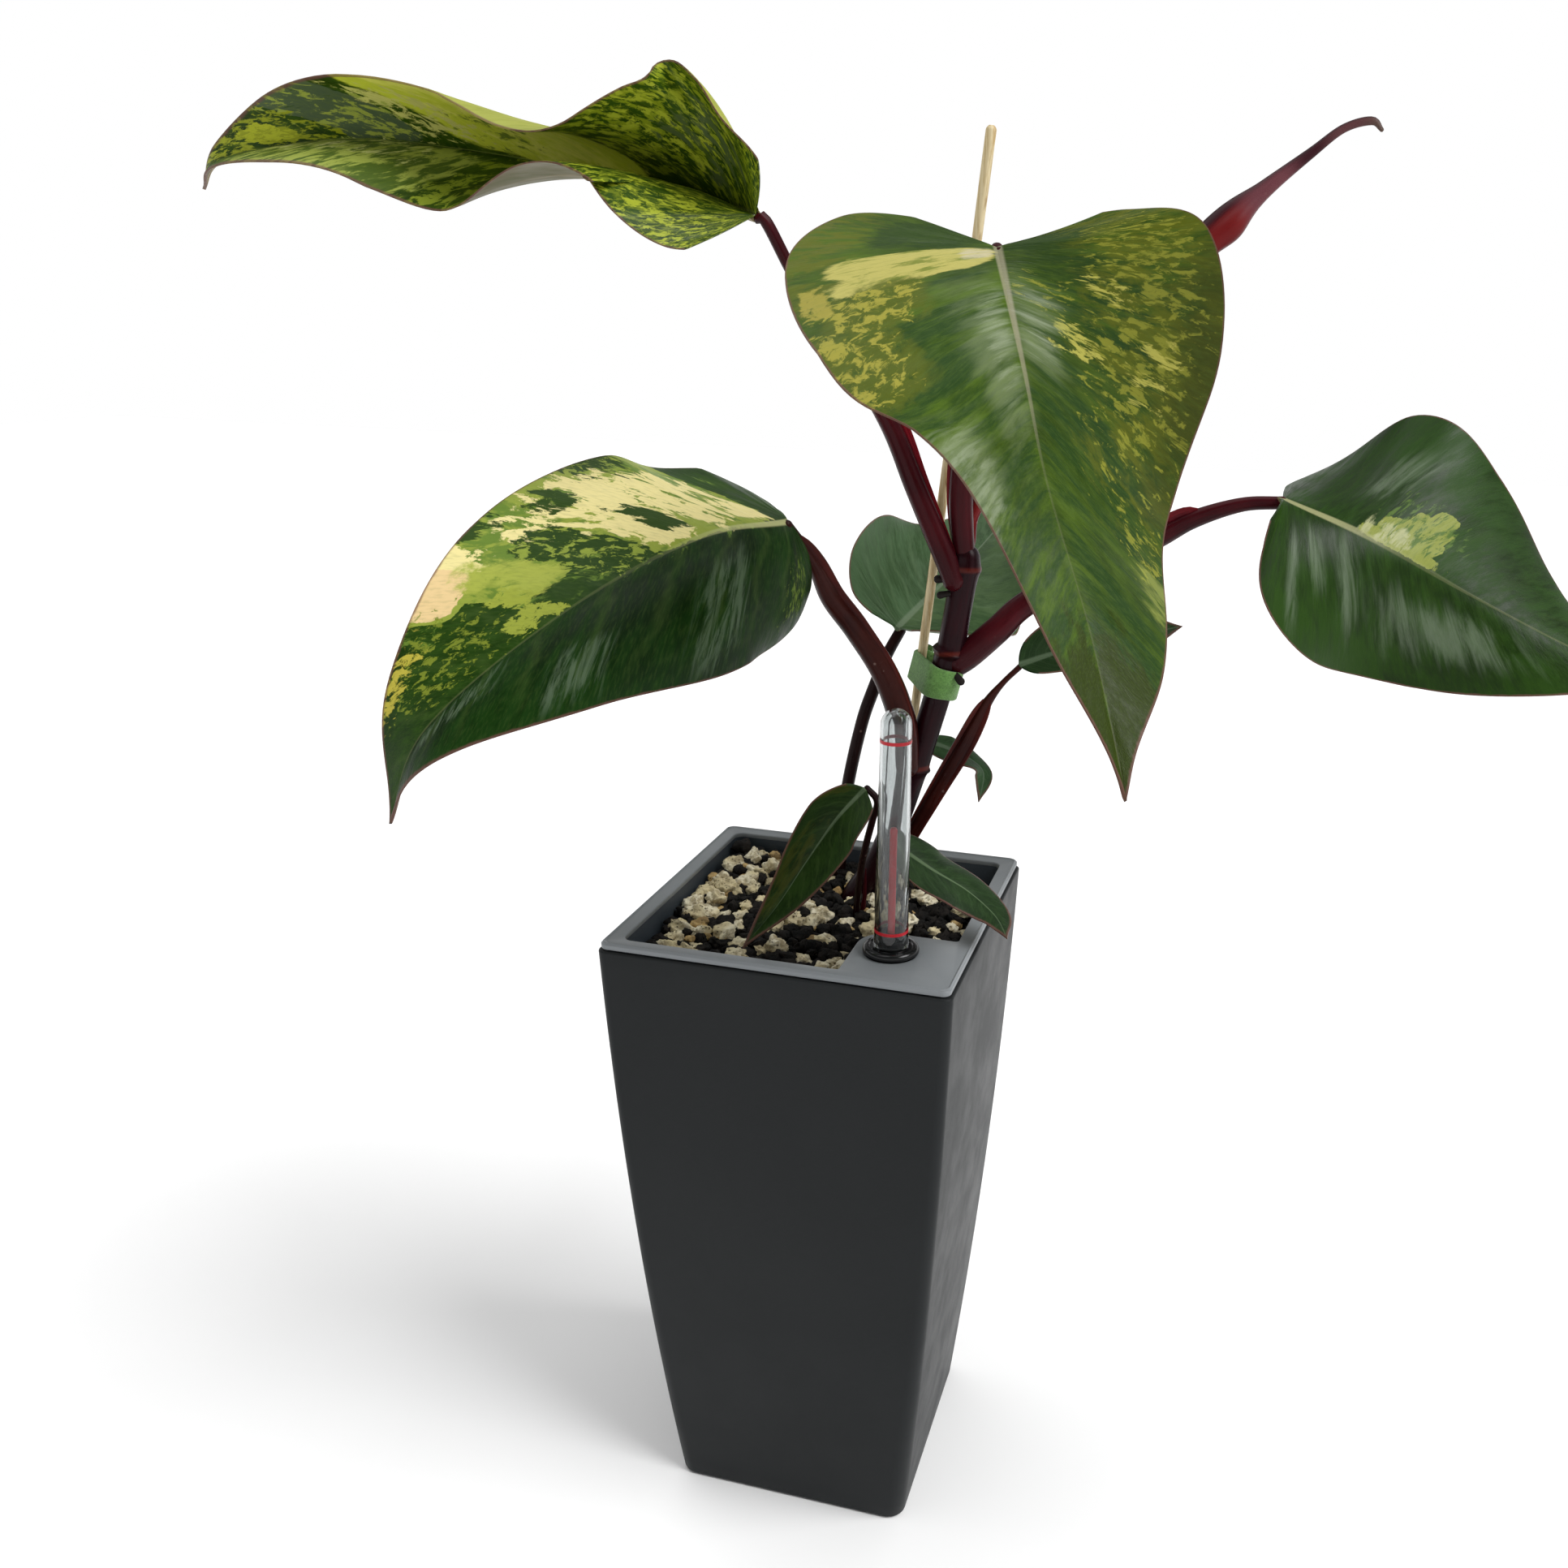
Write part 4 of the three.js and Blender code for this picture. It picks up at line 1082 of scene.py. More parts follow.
LEAF_FORMS = {
    "upper_left": LeafForm(
        rib=((-13, -9, 341), (-22, 0, 343), (-34, 4, 346), (-50, 4, 349), (-69, 0, 352), (-85, -6, 354),
             (-102, -16, 355), (-118, -23, 353), (-134, -24, 350), (-144, -18, 345)),
        face=(0.1, -0.85, 0.5), roll=(-2, -12, -24, -5), half=(35, 38.5), lobes=(0.3, 0.2),
        fold=((5, 30, 55, 55, 60, 78, 60, 32, 15, 13), (30, 10, 20, 40, 62, 72, 53, 67, 60, 30)),
        curl=((34, 45, -28), (16, 0, -40)),
        stalk=((28, 17.5, 262), (25.9, 16.8, 267.2), (18, 14.9, 284.3), (12, 11.2, 299), (2, 4.3, 316.4),
               (-5.1, -3.5, 327.9), (-10.6, -8.5, 339.5), (-13, -9.3, 341.4)),
        stalk_radii=(2.8, 2.8, 2.6, 2.3, 1.8, 1.4, 1.3, 1.2),
        wings=(Wing(0.06, 0.62, 2.6, (0.9, 0.3, 0.4), 2.0),),
    ),
    "lower_left": LeafForm(
        rib=((-6.5, -8, 278), (-21, -29, 276), (-46, -49, 260.5), (-72, -64, 237), (-86, -62, 212.5)),
        face=(-0.2, -0.65, 0.73), roll=(-15, -2, -9, -4), half=(43, 31), lobes=(0.4, 0.3),
        fold=((-27, -19, -18, -2, 10, 18), (-18, -31, -28, 2, 9, 16)),
        curl=((-46, 21, 18), (-60, -54, 29)),
        stalk=((18, 15.5, 213.5), (16.5, 14.5, 226), (11.8, 12.7, 239), (5.2, 9.5, 250), (0.1, 4.4, 258.6),
               (-2.6, -0.9, 267.2), (-6.7, -8.4, 278.4)),
        stalk_radii=(3, 3.6, 3.4, 3.1, 2.7, 1.8, 1.3),
        wings=(Wing(0.12, 0.9, 1.3, (0.5, -0.4, 0.8), 3.0),),
    ),
    "front": LeafForm(
        rib=((43, -25, 335), (51, -32, 313), (58, -39, 293), (71, -55, 267), (82.5, -75, 241)),
        face=(0.1, -0.85, 0.5), roll=(-30, -31, -34, -29), half=(51, 46), lobes=(0.5, 0.2),
        fold=((-12, 0, 8, 28, 17, 25), (8, 7, 11, -25, -3, 15)),
        curl=((-24, -4, 30), (16, 16, 14)),
        stalk=((30, 20, 265.5), (28.7, 18.2, 280.7), (30, 14.4, 295.9), (33.6, 4.9, 312.2),
               (38.4, -10.3, 325.4), (43.1, -25.4, 335.1)),
        stalk_radii=(2.6, 3, 2.7, 2.2, 1.7, 1.4),
        wings=(Wing(0.08, 0.55, 1.8, (-0.9, -0.1, 0.3), 1.0),),
    ),
    "right": LeafForm(
        rib=((104, 34, 284), (125.5, 34, 276), (150, 41.5, 263.5), (176, 47, 251.5), (203.5, 58.5, 240)),
        face=(0.25, -0.65, 0.72), roll=(-36, 16, 3, -9), half=(32, 43.5), lobes=(0.1, 0),
        fold=((4, 10, -10, -10, -4, 5), (9, -8, -2, -8, -7, 1)),
        curl=((18, -40, -3), (1, -6, -9)),
        stalk=((29, 20, 241), (32.1, 20.9, 243.7), (38.6, 23.3, 249.9), (44.4, 26.5, 255.8),
               (59.1, 30.3, 265.3), (74.3, 32.2, 272.8), (83.5, 33.6, 278), (94.6, 33.9, 282),
               (104.4, 34, 284)),
        stalk_radii=(3.3, 3.6, 3.5, 3.2, 3, 2.7, 2.2, 1.7, 1.5),
        wings=(Wing(0.3, 0.76, 2.4, (-0.3, -0.3, 0.9), 2.0),),
    ),
    "back": LeafForm(
        rib=((8, 40, 244.5), (13, 59.5, 251), (20, 76, 258.5), (28, 91, 269), (32.5, 107, 273.5)),
        face=(-0.1, -0.8, 0.6), roll=(14, 17, -10, 17), half=(27.5, 26), lobes=(0.6, 0.5),
        fold=((28, 31, 17, 7, 1, 3), (34, 19, 28, 6, 6, 10)),
        curl=((45, -7, -5), (36, 16, 7)),
        stalk=((-7, 30, 150), (-6, 32, 167), (-5.5, 33.5, 185), (-4, 34.4, 200.6), (-0.8, 36.7, 218.2),
               (2.4, 37.9, 228.6), (5.2, 39.1, 236.8), (8.4, 41.6, 245.2)),
        stalk_radii=(1.8, 1.8, 1.8, 1.8, 1.8, 1.8, 1.6, 1.5),
    ),
    "small_right": LeafForm(
        rib=((43.5, 30, 239.5), (54, 43.5, 241.5), (68, 52, 244), (82.5, 60.5, 246.5)),
        face=(0.1, -0.7, 0.7), roll=(15, 15), half=(12, 12), lobes=(0.8, 0.7),
        fold=((24, 20, 8), (30, 25, 10)), curl=((30, 40, 0), (40, 60, 5)),
        stalk=((3, 26, 150), (5, 26, 167), (18, 26.2, 192.9), (24.8, 26.4, 206.4), (30.9, 26.8, 218.3),
               (35.7, 27.5, 229), (39.7, 27.9, 234.9), (43.9, 30.4, 239.7)),
        stalk_radii=(1.8, 1.8, 2.1, 2.2, 2.2, 1.4, 0.8, 0.8), young=True,
        wings=(Wing(0.3, 0.86, 1.2, (0.7, -0.6, -0.2), 1.5), Wing(0.3, 0.86, 1.2, (-0.8, -0.4, 0.3), 1.5)),
    ),
    "small_left": LeafForm(
        rib=((14.5, -13.5, 216.5), (6, -10.5, 206), (-0.5, -14, 195.5), (-6, -21, 185.5), (-12, -30, 177)),
        face=(-0.1, -0.7, 0.7), roll=(-33, -19, -22, -12), half=(9, 10), lobes=(0.7, 0.8),
        fold=((27, 22), (13, 24)), curl=((20, 50, 27), (0, 20, 20)),
        stalk=((5, 9, 150), (6, 8, 167), (10, 0, 190), (15, -8.5, 206), (17.3, -12, 213),
               (14.2, -13.3, 216.7)),
        stalk_radii=(0.9, 0.9, 0.9, 0.9, 0.9, 0.8), young=True,
    ),
    "small_front": LeafForm(
        rib=((22, -13.5, 203), (31.5, -12.5, 197), (40.5, -10.5, 191.5), (48.5, -14.5, 187.5),
             (53.5, -23.5, 186)),
        face=(0.2, -0.6, 0.8), roll=(-12, -18, -15, 3), half=(9, 8.5), lobes=(0.7, 0.7),
        fold=((15, 5), (6, 6)), curl=((15, -12, -12), (0, -30, 0)),
        stalk=((11, 13, 150), (11.5, 12, 167), (14, 3, 188), (18, -7, 200), (22.4, -13.7, 203)),
        stalk_radii=(0.9, 0.9, 0.9, 0.9, 0.8), young=True,
    ),
    "small_back": LeafForm(
        rib=((18.2, 37.2, 214.3), (23.7, 37.2, 212.9), (28.7, 38.5, 210.7), (33.7, 38.5, 206.7),
             (33.7, 35, 199.2)),
        face=(0.2, -0.5, 0.8), roll=(-6, -11, -27, -18), half=(6, 5.5), lobes=(0.8, 0.8),
        fold=((8, 13), (6, 8)), curl=((0, 0, 10), (-6, -20, 0)),
        stalk=((3, 34.5, 150), (4, 35, 167), (9.5, 38.5, 189.5), (14.3, 39.4, 208.8), (18.6, 37.3, 214.4)),
        stalk_radii=(0.8, 0.8, 0.8, 0.8, 0.7), young=True,
    ),
}

R = Side.RIGHT
L = Side.LEFT

LEAF_FINISHES = {
    "upper_left": LeafFinish(
        right=("1C3206", "2C4608"), left=("1C3206", "2C4608"), vein="66781E", midrib="8E9A4A", seed=4.0,
        under=("A0A544", "5C5636"), under_rib="8A7A5A", midrib_width=(1.1, 0.3), midrib_strength=0.55,
        vein_strength=0.3,
        marks=(
            Marking("7C8A1A", (Patch(R, 0, 0.585, 0, 1),), 0.43, 130, 11, 0.14, 0.05),
            Marking("65731A", (Patch(L, 0, 0.6, 0, 1),), 0.42, 130, 11, 0.14, 0.05),
            Marking("9CA62C", (Patch(R, 0.36, 0.585, 0.25, 1), Patch(L, 0.1, 0.56, 0.1, 1)), 0.36, 100, 9,
                    0.14),
            Marking("45542C", (Patch(R, 0.38, 0.5, 0.1, 0.7),), 0.5, 50, 4, 0.1),
            # The chartreuse band is the blade's own colour, painted lighter than it is to lift the shadow
            # that falls on it there: partly painted light.
            Marking("BCC43A", (Patch(R, 0.57, 0.72, 0, 1), Patch(L, 0.56, 0.63, 0, 0.6)), 1.2, 20, 4, 0.3,
                    0.12),
            Marking("D2D25E", (Patch(R, 0.58, 0.71, 0, 1),), 0.5, 40, 3, 0.25),
            Marking("6E7D2A", (Patch(R, 0.655, 0.72, 0.05, 0.6),), 0.4, 90, 8, 0.12, 0.4),
            Marking("BDBC66", (Patch(R, 0.69, 0.765, 0.1, 0.9),), 0.52, 100, 7, 0.12, 0.4),
            Marking("46553A", (Patch(R, 0.74, 0.80, 0, 1),), 0.9, 50, 5, 0.12, 0.2),
            Marking("8E9A40", (Patch(R, 0.73, 0.81, 0, 1), Patch(R, 0.76, 0.80, 0.8, 1)), 0.42, 90, 6, 0.1),
            Marking("A6AC26", (Patch(R, 0.825, 0.87, 0.15, 0.8),), 0.85, 70, 6, 0.1, 0.3),
            Marking("8A921E", (Patch(R, 0.79, 0.87, 0, 1),), 0.42, 110, 9, 0.12),
            Marking("98A028", (Patch(R, 0.86, 1, 0, 1),), 0.5, 70, 5, 0.1),
            Marking("7E8C2A", (Patch(L, 0.58, 0.70, 0, 1),), 0.42, 90, 6, 0.1),
            Marking("465A20", (Patch(L, 0.69, 0.90, 0, 1),), 0.95, 40, 2, 0.3, 0.2),
            Marking("939E48", (Patch(L, 0.69, 0.88, 0, 1),), 0.52, 120, 4, 0.16, 0.2),
            Marking("BDC07A", (Patch(L, 0.72, 0.86, 0, 0.7),), 0.36, 120, 4, 0.14, 0.3),
        ),
    ),
    "lower_left": LeafFinish(
        right=("183206", "264409"), left=("082003", "123404"), vein="4C622C", midrib="B9BA82", seed=11.0,
        midrib_fade=(0.05, 0.3, 0.12), vein_strength=0.2,
        marks=(
            Marking("8F9D3E", (Patch(R, 0.405, 0.65, 0, 1), Patch(R, 0.6, 0.695, 0.32, 1),
                               Patch(R, 0.68, 0.715, 0.72, 1)), 1.2, 60, 5, 0.06, 0.08),
            Marking("65802E", (Patch(R, 0.39, 0.71, 0, 1),), 0.46, 50, 4, 0.14),
            Marking("E8DB98", (Patch(R, 0.41, 0.5, 0.03, 0.75), Patch(R, 0.49, 0.61, 0.03, 0.97),
                               Patch(R, 0.595, 0.635, 0.52, 0.95), Patch(R, 0.64, 0.69, 0.8, 1)),
                    0.66, 50, 3.5, 0.06),
            Marking("E4C892", (Patch(R, 0.665, 0.712, 0.76, 1),), 0.98, 60, 5, 0.08, 0.12),
            Marking("A3AC48", (Patch(R, 0.645, 0.685, 0.3, 0.85),), 0.7, 40, 4, 0.25, 0.35),
            Marking("2A430F", (Patch(R, 0.46, 0.525, 0.78, 1), Patch(R, 0.548, 0.572, 0.15, 0.54),
                               Patch(R, 0.555, 0.592, 0.72, 0.93), Patch(R, 0.60, 0.635, 0.88, 1)),
                    0.82, 80, 5, 0.08, 0.6),
            Marking("26400E", (Patch(R, 0.602, 0.648, 0, 0.74),), 0.88, 80, 7, 0.12, 0.3),
            Marking("26400E", (Patch(R, 0.648, 0.705, 0, 0.3),), 0.72, 100, 9, 0.25, 0.6, 0.95, 0.7),
            Marking("8C9C3C", (Patch(R, 0.603, 0.65, 0, 0.78), Patch(R, 0.46, 0.53, 0.7, 1)), 0.4, 130, 12,
                    0.1),
            Marking("9AA43E", (Patch(R, 0.685, 0.725, 0.02, 0.36), Patch(R, 0.675, 0.70, 0.3, 0.62)), 0.66,
                    100, 10, 0.1, 0.35),
            Marking("77842A", (Patch(R, 0.70, 0.82, 0.1, 1),), 0.36, 120, 11, 0.12, 0.4),
            Marking("B8AC42", (Patch(R, 0.73, 0.82, 0.78, 1),), 0.52, 100, 8, 0.12, 0.4),
            # Soft grey-green streaks on the left half: painted sheen.
            Marking("64765E", (Patch(L, 0.485, 0.55, 0.2, 0.95), Patch(L, 0.62, 0.69, 0.5, 0.92),
                               Patch(L, 0.74, 0.87, 0.06, 0.55)), 0.52, 120, 2.5, 0.3, 0.7, 0.6, 1),
            Marking("6E8430", (Patch(L, 0.28, 0.4, 0.3, 0.85),), 0.4, 110, 12, 0.15, 0.5, 0.7),
        ),
    ),
    "front": LeafFinish(
        right=("2D420A", "445C10"), left=("283C08", "3E540E"), vein="586E2C", midrib="98927A", seed=21.0,
        midrib_width=(1.4, 0.35), midrib_strength=0.62, midrib_fade=(0.12, 0.42, 0.15), vein_count=15.0,
        vein_strength=0.2,
        marks=(
            Marking("1D3812", (Patch(R, 0.42, 0.97, 0, 1), Patch(L, 0.4, 0.97, 0, 1)), 0.55, 60, 1.0, 0.3,
                    0.3, 0.85),
            Marking("1E3510", (Patch(R, 0.15, 0.36, 0.08, 0.72), Patch(L, 0.12, 0.43, 0.04, 0.55)), 0.9, 30,
                    3, 0.3, 0.4, 0.8),
            Marking("565C12", (Patch(R, 0.2, 0.42, 0.7, 1), Patch(L, 0.18, 0.62, 0.35, 1)), 0.6, 70, 5, 0.3,
                    0.6, 0.85, 0.8),
            Marking("39410A", (Patch(L, 0.38, 0.62, 0.8, 1),), 0.8, 50, 3, 0.35, 0.7, 0.85, 1),
            Marking("A9A258", (Patch(R, 0.372, 0.43, 0.03, 0.8),), 1.1, 60, 3, 0.2, 0.25),
            Marking("727A30", (Patch(R, 0.37, 0.43, 0.05, 0.8),), 0.32, 110, 4, 0.2, 0.3),
            Marking("B9B092", (Patch(R, 0.375, 0.42, 0.02, 0.2),), 0.6, 60, 3, 0.3, 0.5, 0.8, 0.8),
            Marking("4C5612", (Patch(R, 0.42, 0.48, 0.42, 0.92), Patch(R, 0.45, 0.54, 0.6, 1)), 0.85, 50, 6,
                    0.3, 0.5, 0.9, 0.8),
            Marking("8F8A34", (Patch(R, 0.425, 0.475, 0.46, 0.9), Patch(R, 0.455, 0.53, 0.66, 1)), 0.46, 130,
                    13, 0.14, 0.35),
            Marking("948B3A", (Patch(R, 0.405, 0.44, 0.85, 0.97),), 0.7, 90, 9, 0.2, 0.5, 0.9),
            Marking("87882E", (Patch(L, 0.28, 0.6, 0.4, 0.95), Patch(L, 0.445, 0.49, 0.04, 0.32),
                               Patch(L, 0.6, 0.67, 0.68, 0.98)), 0.4, 140, 11, 0.14, 0.5, 0.8),
            Marking("B2AC50", (Patch(L, 0.43, 0.465, 0.33, 0.58), Patch(L, 0.49, 0.53, 0.2, 0.5),
                               Patch(L, 0.475, 0.53, 0.62, 0.84)), 0.42, 120, 6, 0.12, 0.5, 0.9),
            # Soft pale streaks about the midrib and a pale patch near the right margin: painted sheen and
            # painted highlight.
            Marking("76835E", (Patch(R, 0.46, 0.64, 0.0, 0.4), Patch(L, 0.47, 0.57, 0.0, 0.3),
                               Patch(R, 0.57, 0.66, 0.5, 1)), 0.75, 50, 1.3, 0.5, 0.9, 0.55, 1),
            Marking("98A288", (Patch(R, 0.46, 0.6, 0.0, 0.26), Patch(L, 0.46, 0.56, 0.0, 0.26),
                               Patch(R, 0.575, 0.68, 0.6, 1)), 0.46, 90, 1.6, 0.35, 0.9, 0.5, 1),
            # Pale yellowish patch near the left margin: painted highlight.
            Marking("8C9446", (Patch(L, 0.645, 0.705, 0.8, 1),), 0.55, 60, 3, 0.3, 0.7, 0.65, 0.8),
            Marking("283400", (Patch(R, 0.78, 1.1, 0, 1), Patch(L, 0.78, 1.1, 0, 1)), 1.0, 30, 3, 0.3, 0.3,
                    0.95),
        ),
    ),
    "right": LeafFinish(
        right=("122801", "1F3D02"), left=("122801", "1D3C02"), vein="304A10", midrib="9C9C70", seed=31.0,
        midrib_width=(1.5, 0.35), midrib_fade=(0.08, 0.32, 0.2), vein_strength=0.15,
        marks=(
            # Soft grey-green streaks, mostly on the right half: painted sheen.
            Marking("72806A", (Patch(R, 0.455, 0.49, 0.15, 0.62), Patch(R, 0.42, 0.44, 0.3, 0.95),
                               Patch(R, 0.505, 0.545, 0.08, 0.72), Patch(R, 0.57, 0.74, 0.28, 0.78),
                               Patch(L, 0.5, 0.56, 0.3, 0.75)), 0.56, 55, 1.3, 0.45, 0.9, 0.55, 1),
            Marking("80883A", (Patch(L, 0.545, 0.655, 0, 0.12), Patch(L, 0.562, 0.645, 0.08, 0.26),
                               Patch(L, 0.585, 0.635, 0.2, 0.4), Patch(L, 0.6, 0.628, 0.35, 0.5)),
                    0.9, 110, 5, 0.1, 0.2),
            Marking("4A6420", (Patch(L, 0.56, 0.65, 0.05, 0.48),), 0.42, 160, 7, 0.16, 0.4),
            Marking("A5A77C", (Patch(L, 0.545, 0.61, 0, 0.2),), 0.6, 90, 5, 0.3, 0.5, 0.9, 0.6),
        ),
    ),
    "back": LeafFinish(
        right=("2E4424", "3E5430"), left=("2C4224", "40593A"), vein="546A4A", midrib="72806A", seed=41.0,
        midrib_strength=0.45, vein_strength=0.3,
        marks=(Marking("21391A", (Patch(R, 0.25, 0.6, 0.2, 0.9),), 0.6, 20, 3, 0.3, 0.4, 0.7),),
    ),
    "small_right": LeafFinish(
        right=("1C3116", "283E20"), left=("1C3116", "283E20"), vein="455A3C", midrib="62745A", seed=51.0,
    ),
    "small_left": LeafFinish(
        right=("1A2C12", "263C18"), left=("1C3012", "2A4218"), vein="45592E", midrib="6E8062", seed=61.0,
        midrib_width=(0.9, 0.25), midrib_strength=0.6,
        marks=(Marking("4A4C1A", (Patch(R, 0.5, 0.8, 0.1, 1), Patch(R, 0.2, 0.34, 0.3, 1)), 0.6, 14, 4, 0.3,
                       0.4, 0.6),),
    ),
    "small_front": LeafFinish(
        right=("162811", "24391B"), left=("162811", "24391B"), vein="37502E", midrib="667A5A", seed=71.0,
        midrib_width=(0.9, 0.25), midrib_strength=0.6,
    ),
    "small_back": LeafFinish(
        right=("233A20", "33502E"), left=("233A20", "33502E"), vein="466040", midrib="5E705A", seed=81.0,
        under=("5A5A30", "66602F"),
    ),
}


@dataclass
class Leaf:
    """One leaf: a thin veined blade on a stalk with its sheath."""

    name: str
    form: LeafForm
    finish: LeafFinish
    columns: int = 110
    rows: int = 22
    skin: float = 0.5
    quilt: float = 0.14
    groove: float = 0.28
    rib_swell: float = 0.9
    wing_steps: int = 36
    wing_sunk: float = 0.7
    wing_foot: float = 0.55
    wing_edge: float = 0.18
    wing_lean: float = 0.35

    def margin(self, s: Array, side: Side) -> tuple[Array, Array, Array]:
        """Where the margin runs.

        Args:
            s: How far round the margin, from base to tip.
            side: The half.

        Returns:
            The place along the midrib that the margin point belongs to, its distance out in millimetres,
            and the place where its vein leaves the midrib.
        """
        outline = LANCE if self.form.young else HEART
        reach = [through([x * lobe if x < 0 else x for x, _ in outline], s) for lobe in self.form.lobes]
        out = np.maximum(through([y for _, y in outline], s), 0) * self.form.half[side.index]
        root = np.clip((reach[0] + reach[1]) / 2, 0, 1) ** 1.8
        return np.minimum(reach[side.index], 1), out, root

    def start(self, side: Side) -> float:
        """How far round the margin the half begins, past its base fold."""
        past_lobe = min(max(0.32 - 0.55 * self.form.lobes[side.index], 0.15), 0.32)
        return 0.2 if self.form.young else past_lobe

    def half_sheet(self, side: Side) -> Shape:
        """One half of the sheet without thickness.

        Args:
            side: The half.

        Returns:
            The sheet, its faces anticlockwise from the upper side.
        """
        form = self.form
        rib = Curve(form.rib)
        s, t = np.meshgrid(np.linspace(self.start(side), 1, self.columns + 1),
                           np.linspace(0, 1, self.rows + 1), indexing="ij")
        margin_x, margin_y, root = self.margin(s, side)
        x = root + (margin_x - root) * t**1.25
        on_rib = np.clip(x, 0, 1)
        centre, along = rib.place(on_rib)
        centre = centre + along * (np.minimum(x, 0) * rib.length)[..., None]
        face = square_to(form.face, along)
        roll = np.radians(through(form.roll, on_rib))[..., None]
        turned = np.cos(roll) * face + np.sin(roll) * np.cross(along, face)
        across = np.cross(along, turned)
        fold = np.radians(through(form.fold[side.index], s))
        half = np.radians(through(form.curl[side.index], s)) * t / 2
        chord = np.sinc(half / math.pi) * t * margin_y
        points = (centre + across * (side.value * np.cos(fold + half) * chord)[..., None]
                  + turned * (np.sin(fold + half) * chord)[..., None])
        layers = {"veins": (s, 0.5 + 0.5 * side.value * t), "ribs": (t * margin_y / 100, on_rib),
                  "edges": ((1 - t) * np.maximum(margin_y, 0.2) / 100, t)}
        step = self.rows + 1
        faces = []
        for i in range(self.columns):
            for a in range(i * step, i * step + self.rows):
                ring = (a, a + step, a + step + 1, a + 1)
                faces.append(ring[::-1] if side is Side.RIGHT else ring)
        return Shape(points.reshape(-1, 3), faces,
                     {name: np.stack(pair, axis=-1).reshape(-1, 2) for name, pair in layers.items()})

    def relief(self, layers: dict[str, Array]) -> tuple[Array, Array]:
        """The blade's relief, in millimetres.

        Args:
            layers: The sheet's texture coordinates.

        Returns:
            How far the blade rises between its lateral veins and sinks at its midrib, and how far the midrib
            stands out below.
        """
        off_rib, along = layers["ribs"][:, 0] * 100, layers["ribs"][:, 1]
        out = layers["edges"][:, 1]
        size = min(1.0, max(self.form.half) / 40)
        fade = smoothstep(0.05, 0.35, out) * (1 - smoothstep(0.7, 1.0, out))
        waves = 1 - np.cos(2 * math.pi * self.finish.vein_count * layers["veins"][:, 0])
        channel = self.groove * size * np.exp(-((off_rib / (1.3 * size)) ** 2)) * (1 - 0.6 * along)
        swell = self.rib_swell * size * np.exp(-((off_rib / (1.2 * size)) ** 2)) * (1 - 0.8 * along)
        return self.quilt * size * 0.5 * waves * fade - channel, swell

    def blade(self) -> Shape:
        """The blade with both faces and its margin.

        Returns:
            The blade. Finish 0 is its upper side and its margin, and finish 1 its lower side.
        """
        sheet = self.half_sheet(Side.RIGHT)
        sheet.join(self.half_sheet(Side.LEFT))
        sheet = weld(sheet)
        points, faces, layers = sheet.points, sheet.faces, sheet.layers
        normals = np.zeros_like(points)
        edges = set()
        for face in faces:
            corners = points[list(face)]
            normals[list(face)] += np.cross(corners[1] - corners[0], corners[2] - corners[0])
            edges.update(zip(face, face[1:] + face[:1]))
        relief, swell = self.relief(layers)
        thin = self.skin / 2 * np.where(layers["edges"][:, 1] > 0.97, 0.6, 1.0)
        upper = points + unit(normals) * (relief + thin)[:, None]
        lower = points + unit(normals) * (relief - thin - swell)[:, None]
        count = len(points)
        open_edges = [(a, b) for a, b in edges if (b, a) not in edges]
        closed = [*faces, *(tuple(n + count for n in reversed(face)) for face in faces),
                  *((b, a, a + count, b + count) for a, b in open_edges)]
        finishes = [0] * len(faces) + [1] * len(faces) + [0] * len(open_edges)
        both = {name: np.concatenate([values, values]) for name, values in layers.items()}
        return Shape(np.concatenate([upper, lower]), closed, both, finishes)

    def stalk_path(self) -> list[Point]:
        """The stalk's points, with the last one behind the blade so that its end doesn't show on the face.

        Returns:
            The points.
        """
        _, along = Curve(self.form.rib).place(np.array([0.0]))
        behind = square_to(self.form.face, along[0]) * 1.1 * self.form.stalk_radii[-1]
        return [*self.form.stalk[:-1], tuple(np.array(self.form.stalk[-1]) - behind)]

    def wing(self, wing: Wing) -> Shape:
        """One free edge of the stalk's sheath, a thin fin that ends in a point.

        Args:
            wing: Where it runs and how far it stands out.

        Returns:
            The fin.
        """
        curve = Curve(self.stalk_path())
        w = np.linspace(0, 1, self.wing_steps + 1)
        share = wing.start + (wing.end - wing.start) * w
        centre, along = curve.place(share)
        radius = through(self.form.stalk_radii, curve.parameter(share))[:, None]
        out = square_to(wing.towards, along)
        flat = np.cross(along, out)
        rise = (wing.height * w * (1 - w**24) + 0.05)[:, None]
        centre = centre + along * (wing.tip * w**6)[:, None]
        foot = centre + out * (radius - self.wing_sunk)
        top = centre + out * (radius + rise) + flat * rise * self.wing_lean
        thick, thin = flat * self.wing_foot, flat * self.wing_edge
        shape = loft(list(np.stack([foot - thick, foot + thick, top + thin, top - thin], axis=1)))
        run = np.repeat(share * curve.length / 100, 4)
        shape.layers["run"] = np.stack([run, np.tile([0.5, 0.5, 1, 1], len(share))], axis=1)
        return shape

    def stalk(self) -> Shape:
        """The stalk with the free edges of its sheath.

        Returns:
            The stalk. Finish 0 is the stalk and finish 1 the sheath's free edges.
        """

        def section(share: float, angles: Array) -> Array:
            """A shallow channel along the upper side, and faint ridges."""
            channel = 0.1 * np.exp(-((np.angle(np.exp(1j * (angles - 0.4))) / 0.35) ** 2))
            return 1 - channel * smoothstep(0.15, 0.5, np.array(share)) + 0.012 * np.cos(7 * angles)

        shape = tube(self.stalk_path(), self.form.stalk_radii, (0.15, -0.8, 0.55), 24, 90, section)
        for wing in self.form.wings:
            shape.join(self.wing(wing), 1)
        return shape

